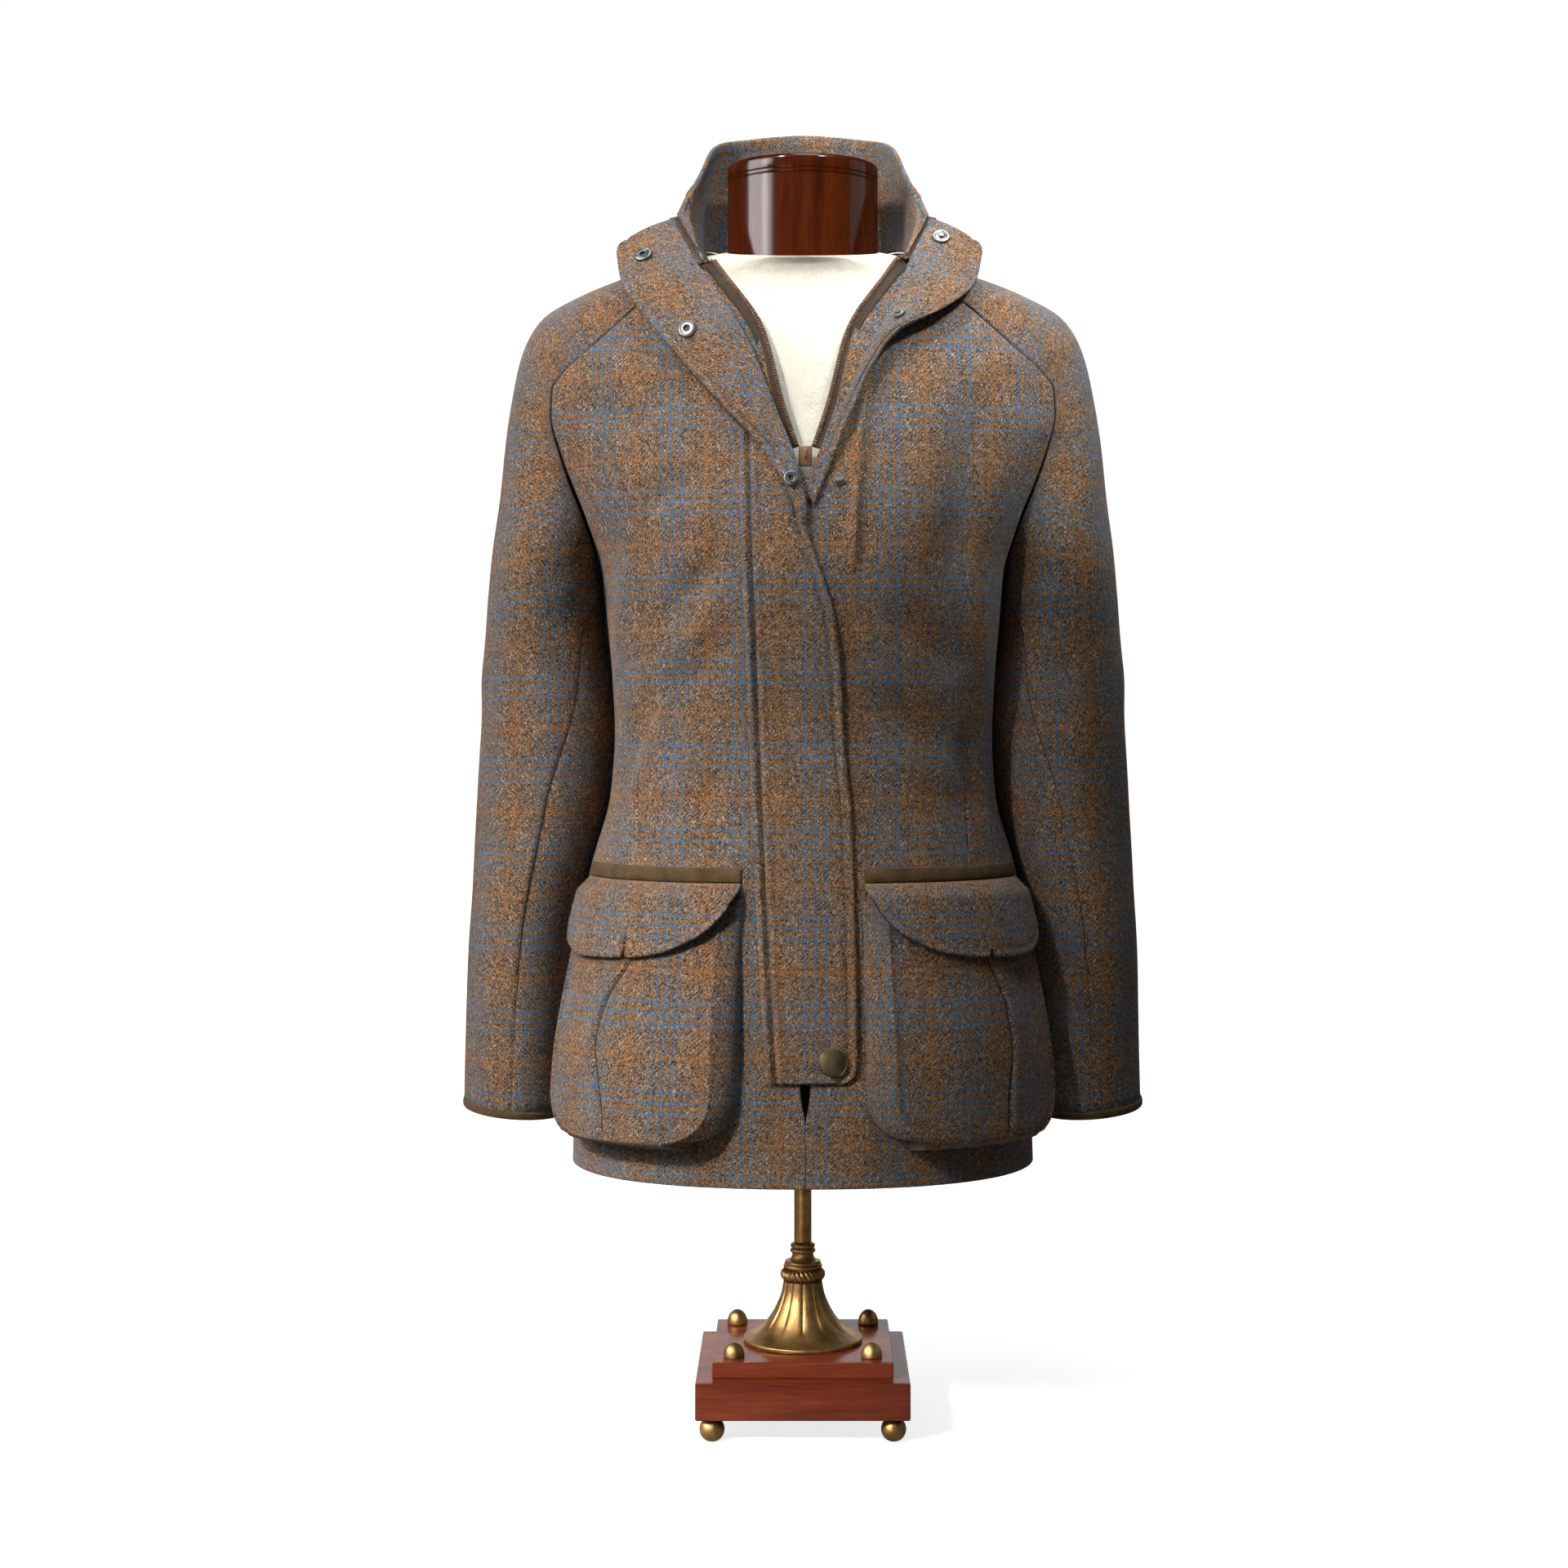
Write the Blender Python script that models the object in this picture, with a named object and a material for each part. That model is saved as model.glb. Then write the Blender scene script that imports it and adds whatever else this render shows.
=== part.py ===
# A tweed coat with raglan sleeves, on a limbless dress form and its stand.
# +Z is up and the front faces -Y. Right and left are the wearer's, so the right side is at -X.
# Sizes and tables are in millimetres and become metres when a mesh is made.

import math

import bmesh
import bpy
import numpy as np
from mathutils import Matrix, Vector

MM = 0.001
SEAM_GAP = 0.3
CLOTH = 2.0
COLLAR_CLOTH = 3.0
FLAP_CLOTH = 3.0
LAPEL_CLOTH = 2.5
TRIM_CLOTH = 1.6
OVERLAY_GAP = 1.3

# The pole stands this far behind the middle of the whole depth.
DEPTH_SHIFT = 9.65
# The fronts close this far to the wearer's left of the pole.
CENTRE_X = 2.0
ROUNDNESS = 0.87

CUFF_BAND = 7.0
CUFF_SIDES = 24
RAGLAN_DROOP = 0.6
DROOP_STATION = 6.0
ARMPIT_STATION = 9.0
CUFF_STATION = 14.0
LOWER_ROWS = (214, 235, 256, 273, 290, 320, 360, 400, 440, 476, 511, 558, 605, 650, 684)
NECK_STATIONS = (0.62, 0.3, 0)
RAGLAN_STATIONS = (9, 8.5, 8, 7.5, 7, 6.5, 6, 5, 4, 3, 2, 1.5, 1) + NECK_STATIONS
RING_STATIONS = (9.06, 9.5, 10, 10.6, 11.3, 12, 12.7, 13.4, 14)
FRONT_COLUMNS = 9
BACK_COLUMNS = 13
SLEEVE_COLUMNS = 15
UNDER_COLUMNS = 6

ROUND_SIDES = 26
SMALL_SIDES = 12
PLINTH_SIDE = 170.0
PLINTH_TOP_Z = 48.0
STEP_SIDE = 144.0
STEP_Z = (48.3, 61.5)
BALL_DIAMETER = 20.0
BALL_PLACE = 72.0
BALL_FLAT = 0.9
KNOB_DIAMETER = 17.0
KNOB_HEIGHT = 12.0
KNOB_PLACE = 55.0
POLE_DIAMETER = 14.3
POLE_FOOT_Z = 142.3
FOOT_PETALS = 12
NECK_RADIUS = 61.6
NECK_Y = 2.0
NECK_TOP_Z = 1024.0
NECK_TILT = 0.2
BUST_TOP_Z = 953.0
SNAP_DIAMETER = 14.0
LOW_SNAP_DIAMETER = 12.0
SNAP_HEIGHT = 2.6
SNAP_DISH = 1.2
SNAP_SIDES = 10
STUD_DIAMETER = 9.0
STUD_HEIGHT = 3.0
LOW_STUD_PLACE = (28.0, 757.0)
CAP_DIAMETER = 22.0
CAP_PLACE = (23.0, 310.0)


class Table:
    # Rows of named columns, read between rows along a smooth curve that doesn't overshoot.
    def __init__(self, names, *rows):
        self.names = names.split()
        self.rows = np.array(rows, float)
        self.keys = self.rows[:, 0]
        steps = np.diff(self.keys)[:, None]
        slopes = np.diff(self.rows, axis=0) / steps
        self.tangents = np.zeros_like(self.rows)
        self.tangents[0] = slopes[0]
        self.tangents[-1] = slopes[-1]
        before, after = slopes[:-1], slopes[1:]
        same_way = before * after > 0
        total = np.where(same_way, before + after, 1.0)
        self.tangents[1:-1] = np.where(same_way, 2 * before * after / total, 0.0)

    def at(self, name, where):
        column = self.names.index(name)
        where = min(max(where, self.keys[0]), self.keys[-1])
        row = min(int(np.searchsorted(self.keys, where, side="right")) - 1, len(self.keys) - 2)
        step = self.keys[row + 1] - self.keys[row]
        t = (where - self.keys[row]) / step
        start, end = self.rows[row, column], self.rows[row + 1, column]
        leave, arrive = self.tangents[row, column] * step, self.tangents[row + 1, column] * step
        rise = t * t * (3 - 2 * t)
        return start + (end - start) * rise + t * (1 - t) * (leave * (1 - t) - arrive * t)


# The coat's body, section by section from hem to neck. Above the armpit it runs on under the sleeve.
TORSO = Table(
    "z half_width front back",
    (214, 188, 150, 148),
    (330, 184, 142, 137),
    (440, 175, 128, 118),
    (511, 157, 118, 104),
    (558, 154, 116, 100),
    (605, 156, 122, 101),
    (650, 160, 130, 102),
    (692, 165, 135, 104),
    (732, 185, 132, 107),
    (760, 202, 127, 108),
    (790, 220, 119, 109),
    (812, 232, 113, 108),
    (848, 235, 104, 104),
    (870, 225, 96, 99),
    (901, 190, 85, 92),
    (930, 140, 75, 82),
    (958, 105, 62, 74),
)

# How far each front edge lies from the closing line: a short slit at the hem, then the open neck.
FRONT_EDGE = Table(
    "z opening",
    (214, 0),
    (256, 0.2),
    (290, 4.5),
    (320, 0),
    (756, 0),
    (775, 9),
    (800, 18),
    (822, 25),
    (848, 31),
    (870, 36),
    (888, 43),
    (902, 54),
    (912, 63),
    (921, 73),
    (930, 82),
)

# The raglan sleeve from the neck to the cuff. Down to the armpit the front and back columns
# are its seams on the body, and below it they are the sleeve's inner side.
SLEEVE = Table(
    "station outer_x outer_z front_x front_z back_x back_z half_depth centre_y seam_angle",
    (0, 88, 952, 87, 930, 66, 958, 66, 0, 178),
    (1, 135, 935, 131, 901, 120, 914, 70, 0, 178),
    (2, 180, 917, 165, 870, 162, 874, 74.5, 0, 178),
    (3, 213, 897, 190, 848, 189, 849, 71.5, 0, 178),
    (4, 229, 868, 200, 833, 200, 833, 67.5, 0, 178),
    (5, 238, 826, 201, 812, 201, 812, 67.5, 0, 178),
    (6, 243, 793, 196, 790, 196, 790, 66, 0, 178),
    (7, 248, 750, 186, 760, 186, 760, 65, 0, 178),
    (8, 253, 714, 175, 732, 175, 732, 66, 0, 178),
    (9, 257, 678, 164.99, 692, 164.99, 692, 67, 0, 178),
    (10, 262, 636, 161, 645, 161, 645, 68, 14, 134),
    (11, 267, 575, 154.5, 580, 154.5, 580, 68, 24, 118),
    (12, 271, 495, 163.5, 497, 163.5, 497, 67, 22, 100),
    (13, 275, 395, 184.5, 395, 184.5, 395, 65, 14, 95),
    (14, 278, 262, 193, 254, 193, 254, 62, 10, 93),
)

# The largest soft troughs of the sleeves: where they lie, how deep, how long and how wide.
SLEEVE_FOLDS = Table(
    "station angle depth length width",
    (3.9, -62, 3.5, 1.3, 20),
    (9.8, -75, 2.5, 0.7, 45),
    (11.1, 40, 3.0, 0.6, 55),
    (12.1, -50, 2.5, 0.5, 50),
)

# The top edge of the standing collar, from its front corner to the middle of the back and past it.
COLLAR_TOP = Table(
    "share x y z",
    (0, 101, -32, 978),
    (0.28, 86, 0, 1017),
    (0.55, 73, 38, 1049),
    (0.75, 46, 61, 1058),
    (1, 0, 75, 1064),
    (1.25, -46, 61, 1058),
)
COLLAR_BULGE = 3.0
COLLAR_LIFT = 0.8
COLLAR_ROWS = 5

# The turned-out top of the front flap on each side, from the collar's corner down to where it closes.
LAPEL_NAMES = "share roll_x roll_y roll_z edge_x edge_y edge_z"
LAPELS = {
    "right": Table(
        LAPEL_NAMES,
        (0, 105, -38, 974, 150, -46, 951),
        (0.2, 85, -70, 935, 144, -75, 919),
        (0.4, 62, -92, 901, 124, -92, 889),
        (0.6, 42, -107, 866, 97, -106, 855),
        (0.8, 21, -121, 813, 60, -120, 813),
        (0.9, 8, -131, 781, 32, -129, 782),
        (0.95, 1.5, -137.4, 757, 16, -136.4, 757),
        (1, -4, -140, 727, 0, -140, 722),
    ),
    "left": Table(
        LAPEL_NAMES,
        (0, 103, -39, 975, 145, -47, 951),
        (0.2, 83, -71, 932, 137, -70, 919),
        (0.4, 67, -90, 893, 108, -98, 893),
        (0.55, 53, -104, 868, 76, -108, 877),
        (0.7, 39, -113, 838, 55, -115, 849),
        (0.85, 25, -122, 803, 36, -123, 806),
        (1, 4, -133.3, 744, 9, -133.4, 738),
    ),
}
LAPEL_BOW = 4.0
LAPEL_SHARES = (0, 0.1, 0.2, 0.3, 0.4, 0.5, 0.6, 0.7, 0.8, 0.87, 0.92, 0.95, 0.975, 1)
LAPEL_COLUMNS = 6

# The storm flap that covers the zip, between its seam on the right front and its free edge.
STORM_FLAP = Table(
    "z seam_x free_x",
    (294, -28, 33),
    (302, -28.5, 41),
    (324, -30, 41),
    (497, -39, 37),
    (549, -41, 32),
    (607, -43, 29),
    (651, -44.5, 24),
    (685, -46, 14),
    (718, -47, 3),
    (744, -48, -1),
    (780, -49, -9),
    (796, -49.5, -16),
)
STORM_ROWS = (294, 302, 324, 370, 415, 460, 497, 549, 580, 607, 651, 685, 718, 744, 780, 796)
STORM_COLUMNS = 5

# A bellows pocket on the body, in degrees round it from the middle of the front.
POCKET_ANGLES = (12.3, 72.8)
POCKET_GUSSET = (0.0, 1.6, 5.0)
GUSSET_RISE = 0.62
POCKET_SHARES = (0, 0.1, 0.25, 0.4, 0.55, 0.7, 0.85, 0.94, 1)
POCKET_HEIGHTS = (431.5, 404, 373, 341, 310, 287, 268, 255, 249)
POCKET_RIM_ROWS = ((244, GUSSET_RISE), (241.5, 0.0))
POCKET_CORNER = 34.0
POCKET_DEPTH = Table("z depth", (241, 28), (300, 26), (380, 16), (431.5, 8))
POCKET_RIM = 0.8

# The pocket flap's lower edge, across from the side near the front edge.
POCKET_FLAP = Table(
    "share low_z",
    (0, 440),
    (0.035, 424),
    (0.09, 411),
    (0.15, 402),
    (0.3, 390),
    (0.45, 386),
    (0.68, 385),
    (0.9, 394),
    (1, 410),
)
POCKET_FLAP_ANGLES = (13.2, 74.5)
POCKET_FLAP_TOP = 445.0
POCKET_FLAP_ROWS = (0, 0.3, 0.65, 1)
POCKET_FLAP_COLUMNS = 12
POCKET_FLAP_LIFT = 4.5
POCKET_FLAP_TURN = 12.0
FLAP_SEAT = 0.5
BINDING_Z = (445.5, 457.0)

ZIP_TAPE = 7.0
ZIP_EDGE_ROWS = (790, 806, 822, 835, 848, 860, 870, 880, 888, 896, 902, 908)
ZIP_CHAIN_WIDTH = 22.0
ZIP_CHAIN_Z = (302, 752)
ZIP_CHAIN_GAP = 1.8
SLIDER_SIZE = (10.4, 6.0, 16.0)
SLIDER_Z = 776.0
SLIDER_SINK = 2.0

# The dress form's bust, section by section, leaning at the neck.
BUST = Table(
    "z half_width front back tilt",
    (300, 138, 98, 98, 0),
    (303, 148, 106, 105, 0),
    (350, 158, 114, 112, 0),
    (440, 150, 108, 102, 0),
    (558, 128, 98, 86, 0),
    (640, 138, 116, 90, 0),
    (700, 148, 123, 94, 0),
    (760, 158, 114, 98, 0),
    (812, 170, 100, 98, 0),
    (848, 184, 91, 93, 0),
    (872, 193, 82, 86, 0),
    (890, 197, 72, 76, 0),
    (902, 192, 64, 68, 0),
    (913.3, 178, 58, 64, 0.02),
    (923.3, 153, 55, 62, 0.05),
    (933.3, 130, 54, 62, 0.1),
    (943.2, 104, 56, 63, 0.15),
    (949.8, 82, 59, 64, 0.19),
    (953, 65, 62, 67, 0.2),
)
BUST_SIDES = 26

NECK_PROFILE = (
    (58.0, 0.0),
    (61.6, 3.5),
    (61.6, 10.5),
    (60.8, 11.2),
    (61.6, 12.0),
    (60.8, 12.8),
    (61.6, 13.6),
)

# Turned brass between the plinth and the pole, as radius and height.
FOOT_PROFILE = Table(
    "z radius",
    (61.8, 48.5),
    (64.5, 48.5),
    (66, 46),
    (70, 38),
    (78, 29.5),
    (90, 22),
    (102, 17.5),
    (110.7, 16),
)
FOOT_HEIGHTS = (61.8, 64.5, 66, 70, 76, 84, 94, 104, 110.7)
FOOT_GROOVE = 0.06
BALUSTER_PROFILE = (
    (16.0, 121.3),
    (16.0, 127.0),
    (11.0, 127.6),
    (8.5, 133.5),
    (9.2, 136.0),
    (9.8, 138.5),
    (9.2, 141.0),
    (7.6, 142.0),
)
ROPE_RADIUS = 13.5
ROPE_THICKNESS = 5.0
ROPE_Z = 116.0


def clear_scene():
    for item in list(bpy.data.objects):
        bpy.data.objects.remove(item)


def material(name, colour, roughness, metallic=0.0):
    made = bpy.data.materials.new(name)
    made.use_nodes = True
    shader = made.node_tree.nodes["Principled BSDF"]
    shader.inputs["Base Color"].default_value = (*colour, 1.0)
    shader.inputs["Roughness"].default_value = roughness
    shader.inputs["Metallic"].default_value = metallic
    return made


def unit(vector):
    return vector / np.linalg.norm(vector)


def add_object(name, mesh, look, parent):
    made = bpy.data.objects.new(name, mesh)
    made.data.materials.append(look)
    made.parent = parent
    bpy.context.collection.objects.link(made)
    return made


def mesh_from(name, points, faces):
    mesh = bpy.data.meshes.new(name)
    mesh.from_pydata([tuple(p) for p in np.asarray(points) * MM], [], faces)
    shape = bmesh.new()
    shape.from_mesh(mesh)
    bmesh.ops.recalc_face_normals(shape, faces=shape.faces)
    if shape.calc_volume(signed=True) < 0:
        bmesh.ops.reverse_faces(shape, faces=shape.faces)
    shape.to_mesh(mesh)
    shape.free()
    mesh.shade_smooth()
    mesh.set_sharp_from_angle(angle=math.radians(40))
    return mesh


def border_shift(points, normals, ring):
    # Moves the border of a sheet in by half a seam's gap, square to the cloth.
    shift = np.zeros_like(points)
    borders = [(np.s_[0, :], np.s_[1, :]), (np.s_[-1, :], np.s_[-2, :])]
    if not ring:
        borders += [(np.s_[:, 0], np.s_[:, 1]), (np.s_[:, -1], np.s_[:, -2])]
    for border, inside in borders:
        along = np.gradient(points[border], axis=0)
        if ring:
            along = np.roll(points[border], -1, axis=0) - np.roll(points[border], 1, axis=0)
        across = np.cross(along, normals[border])
        across /= np.maximum(np.linalg.norm(across, axis=1, keepdims=True), 1e-9)
        inward = points[inside] - points[border]
        side = np.sign(np.sum(across * inward, axis=1, keepdims=True))
        shift[border] += across * side * SEAM_GAP / 2
    return shift


def wall(name, points, normals, thickness, look, parent, ring=False):
    # A closed cloth wall: the sheet's points outside, and the same points moved in by the thickness.
    points = np.asarray(points, float)
    normals = np.asarray(normals, float)
    outer = points + border_shift(points, normals, ring)
    inner = outer - normals * thickness
    rows, columns = points.shape[:2]
    count = rows * columns

    def corner(row, column, layer):
        return layer * count + row * columns + column % columns

    spans = range(columns if ring else columns - 1)
    faces = []
    for row in range(rows - 1):
        for column in spans:
            square = [(row, column), (row, column + 1), (row + 1, column + 1), (row + 1, column)]
            faces.append([corner(r, c, 0) for r, c in square])
            faces.append([corner(r, c, 1) for r, c in reversed(square)])
    edges = [((row, c), (row, c + 1)) for row in (0, rows - 1) for c in spans]
    if not ring:
        edges += [((r, c), (r + 1, c)) for c in (0, columns - 1) for r in range(rows - 1)]
    for (r0, c0), (r1, c1) in edges:
        faces.append([corner(r0, c0, 0), corner(r1, c1, 0), corner(r1, c1, 1), corner(r0, c0, 1)])
    mesh = mesh_from(name, np.concatenate([outer.reshape(-1, 3), inner.reshape(-1, 3)]), faces)
    return add_object(name, mesh, look, parent)


def mirrored(points):
    return np.asarray(points) * np.array([-1.0, 1.0, 1.0])


def sided(side, points):
    return mirrored(points) if side == "right" else np.asarray(points)


def sheet_normals(points, toward):
    # Normals of a free sheet from its own points, on the side that faces toward.
    points = np.asarray(points)
    across = np.cross(np.gradient(points, axis=1), np.gradient(points, axis=0))
    across /= np.maximum(np.linalg.norm(across, axis=2, keepdims=True), 1e-9)
    return across * np.sign(np.sum(across * np.asarray(toward), axis=2, keepdims=True))


def torso_point(angle, z):
    sine, cosine = math.sin(angle), math.cos(angle)
    depth = TORSO.at("front" if cosine > 0 else "back", z)
    x = TORSO.at("half_width", z) * math.copysign(abs(sine) ** ROUNDNESS, sine)
    y = -depth * math.copysign(abs(cosine) ** ROUNDNESS, cosine)
    return np.array([x, y, z])


def torso_normal(angle, z):
    turn, lift = 0.02, 1.0
    around = torso_point(angle + turn, z) - torso_point(angle - turn, z)
    along = torso_point(angle, z + lift) - torso_point(angle, z - lift)
    return unit(np.cross(around, along))


def on_body(angle, z, out):
    return torso_point(angle, z) + torso_normal(angle, z) * out


def angle_at(x, z):
    share = min(abs(x) / TORSO.at("half_width", z), 1.0)
    return math.copysign(math.asin(share ** (1 / ROUNDNESS)), x)


def sleeve_section(station):
    values = {name: SLEEVE.at(name, station) for name in SLEEVE.names}
    if station <= ARMPIT_STATION:
        front = torso_point(angle_at(values["front_x"], values["front_z"]), values["front_z"])
        back = torso_point(math.pi - angle_at(values["back_x"], values["back_z"]), values["back_z"])
    else:
        front = np.array([values["front_x"], values["centre_y"], values["front_z"]])
        back = front
    middle = (front + back) / 2
    half_gap = np.linalg.norm(back - front) / 2
    to_back = unit(back - front) if half_gap > 1 else np.array([0.0, 1.0, 0.0])
    rise = np.array([values["outer_x"], middle[1], values["outer_z"]]) - middle
    rise -= to_back * np.dot(rise, to_back)
    height = np.linalg.norm(rise)
    outward = rise / height
    half_depth = max(values["half_depth"], half_gap * 1.02)
    closing = math.asin(half_gap / half_depth)
    half_width = height / (1 + math.cos(closing))
    limit = math.pi - closing
    if station > ARMPIT_STATION:
        limit = math.radians(values["seam_angle"])
    centre = middle + outward * (height - half_width)
    return centre, outward * half_width, to_back * half_depth, limit


def fold_depth(station, angle):
    depth = 0.0
    for at_station, at_angle, deep, length, width in SLEEVE_FOLDS.rows:
        along = (station - at_station) / length
        turn = math.remainder(angle - math.radians(at_angle), 2 * math.pi)
        across = math.degrees(turn) / width
        depth += deep * math.exp(-along * along - across * across)
    return depth


def sleeve_point(station, angle):
    centre, outward, backward, _ = sleeve_section(station)
    arm = outward * math.cos(angle) + backward * math.sin(angle)
    return centre + arm * (1 - fold_depth(station, angle) / np.linalg.norm(arm))


def sleeve_normal(station, angle):
    turn, step = 0.02, 0.05
    low = max(station - step, 0.0)
    high = min(station + step, CUFF_STATION)
    around = sleeve_point(station, angle + turn) - sleeve_point(station, angle - turn)
    along = sleeve_point(high, angle) - sleeve_point(low, angle)
    normal = unit(np.cross(around, along))
    outside = sleeve_point(station, angle) - sleeve_section(station)[0]
    return normal if np.dot(normal, outside) > 0 else -normal


def raglan_normal(station, back):
    # Both cloths meet along one direction at the raglan seam, which turns down into the armpit.
    side = "back" if back else "front"
    x, z = SLEEVE.at(side + "_x", station), SLEEVE.at(side + "_z", station)
    body_angle = math.pi - angle_at(x, z) if back else angle_at(x, z)
    limit = sleeve_section(station)[3]
    body = torso_normal(body_angle, z)
    sleeve = sleeve_normal(station, limit if back else -limit)
    droop = RAGLAN_DROOP * max(0.0, (station - DROOP_STATION) / (ARMPIT_STATION - DROOP_STATION))
    return unit(body + sleeve + np.array([0.0, 0.0, -droop]))


def make_fronts(look, parent):
    for side, centre in (("left", CENTRE_X), ("right", -CENTRE_X)):
        points, normals = [], []
        for z in LOWER_ROWS:
            edge = angle_at(centre + FRONT_EDGE.at("opening", z), z)
            angles = np.linspace(edge, math.pi / 2, FRONT_COLUMNS)
            points.append([torso_point(a, z) for a in angles])
            normals.append([torso_normal(a, z) for a in angles])
        for station in RAGLAN_STATIONS:
            z = SLEEVE.at("front_z", station)
            edge = angle_at(centre + FRONT_EDGE.at("opening", z), z)
            angles = np.linspace(edge, angle_at(SLEEVE.at("front_x", station), z), FRONT_COLUMNS)
            points.append([torso_point(a, z) for a in angles])
            normals.append([torso_normal(a, z) for a in angles[:-1]] + [raglan_normal(station, False)])
        wall("front_" + side, sided(side, points), sided(side, normals), CLOTH, look, parent)


def make_back(look, parent):
    points, normals = [], []
    for z in LOWER_ROWS:
        angles = np.linspace(math.pi / 2, math.pi * 1.5, BACK_COLUMNS)
        points.append([torso_point(a, z) for a in angles])
        normals.append([torso_normal(a, z) for a in angles])
    for station in RAGLAN_STATIONS:
        z = SLEEVE.at("back_z", station)
        edge = math.pi - angle_at(SLEEVE.at("back_x", station), z)
        angles = np.linspace(edge, 2 * math.pi - edge, BACK_COLUMNS)
        seam = raglan_normal(station, True)
        points.append([torso_point(a, z) for a in angles])
        normals.append([seam] + [torso_normal(a, z) for a in angles[1:-1]] + [mirrored(seam)])
    wall("back", points, normals, CLOTH, look, parent)


def make_sleeves(look, trim, parent):
    upper, upper_normals, under, under_normals = [], [], [], []
    for station in tuple(reversed(RAGLAN_STATIONS)) + RING_STATIONS:
        limit = sleeve_section(station)[3]
        angles = np.linspace(-limit, limit, SLEEVE_COLUMNS)
        upper.append([sleeve_point(station, a) for a in angles])
        row = [sleeve_normal(station, a) for a in angles]
        if station <= ARMPIT_STATION:
            row[0] = raglan_normal(station, False)
            row[-1] = raglan_normal(station, True)
        upper_normals.append(row)
        if station > ARMPIT_STATION:
            angles = np.linspace(limit, 2 * math.pi - limit, UNDER_COLUMNS)
            under.append([sleeve_point(station, a) for a in angles])
            under_normals.append([sleeve_normal(station, a) for a in angles])
    turns = np.linspace(0, 2 * math.pi, CUFF_SIDES, endpoint=False)
    cuff = np.array([sleeve_point(CUFF_STATION, a) for a in turns])
    cuff_normals = np.array([sleeve_normal(CUFF_STATION, a) for a in turns])
    _, outward, backward, _ = sleeve_section(CUFF_STATION)
    down = unit(np.cross(outward, backward))
    down = down if down[2] < 0 else -down
    band = np.array([cuff, cuff + down * CUFF_BAND])
    for side in ("right", "left"):
        wall("sleeve_upper_" + side, sided(side, upper), sided(side, upper_normals), CLOTH, look, parent)
        wall("sleeve_under_" + side, sided(side, under), sided(side, under_normals), CLOTH, look, parent)
        band_normals = np.array([cuff_normals, cuff_normals])
        wall("cuff_binding_" + side, sided(side, band), sided(side, band_normals), CLOTH, trim, parent, True)


def neck_line(centre):
    # The neck seam of one half: up the front, over the sleeve's end and level across the back.
    line = []
    for station in NECK_STATIONS:
        z = SLEEVE.at("front_z", station)
        line.append(torso_point(angle_at(centre + FRONT_EDGE.at("opening", z), z), z))
    limit = sleeve_section(0)[3]
    line += [sleeve_point(0, a) for a in np.linspace(-limit, limit, 8)]
    back_x, back_z = SLEEVE.at("back_x", 0), SLEEVE.at("back_z", 0)
    for x in (back_x * 2 / 3, back_x / 3, 0):
        line.append(torso_point(math.pi - angle_at(x, back_z), back_z))
    return np.array(line)


def collar_half(centre):
    base = neck_line(centre) + np.array([0, 0, COLLAR_LIFT])
    lengths = np.concatenate([[0], np.cumsum(np.linalg.norm(np.diff(base, axis=0), axis=1))])
    columns = []
    for point, share in zip(base, lengths / lengths[-1]):
        top = np.array([COLLAR_TOP.at(name, share) for name in "xyz"])
        out = unit(np.array([top[0] + point[0], top[1] + point[1], 0.0]))
        steps = np.linspace(0, 1, COLLAR_ROWS)
        bulge = [out * COLLAR_BULGE * math.sin(math.pi * v) for v in steps]
        columns.append([point + (top - point) * v + b for v, b in zip(steps, bulge)])
    return np.array(columns).transpose(1, 0, 2)


def collar_sheet(centre):
    # The whole collar, starting with the half whose front closes at the given centre.
    near = collar_half(centre)
    far = mirrored(collar_half(-centre))
    points = np.concatenate([near, far[:, -2::-1]], axis=1)
    return points, sheet_normals(points, points * np.array([1.0, 1.0, 0.0]))


def make_collar(look, parent):
    points, normals = collar_sheet(CENTRE_X)
    wall("collar", points, normals, COLLAR_CLOTH, look, parent)


def zip_edge(centre):
    # The open front edge from just above the slider to the collar's top corner, as points,
    # normals and the way across the opening that the cloth would run on.
    points, normals, inward = [], [], []
    for z in ZIP_EDGE_ROWS:
        angle = angle_at(centre + FRONT_EDGE.at("opening", z), z)
        points.append(torso_point(angle, z))
        normals.append(torso_normal(angle, z))
        inward.append(unit(torso_point(angle - 0.02, z) - torso_point(angle, z)))
    collar, collar_normals = collar_sheet(centre)
    for row in range(1, COLLAR_ROWS):
        points.append(collar[row, 0])
        normals.append(collar_normals[row, 0])
        inward.append(unit(collar[row, 0] - collar[row, 1]))
    return np.array(points), np.array(normals), np.array(inward)


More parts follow.
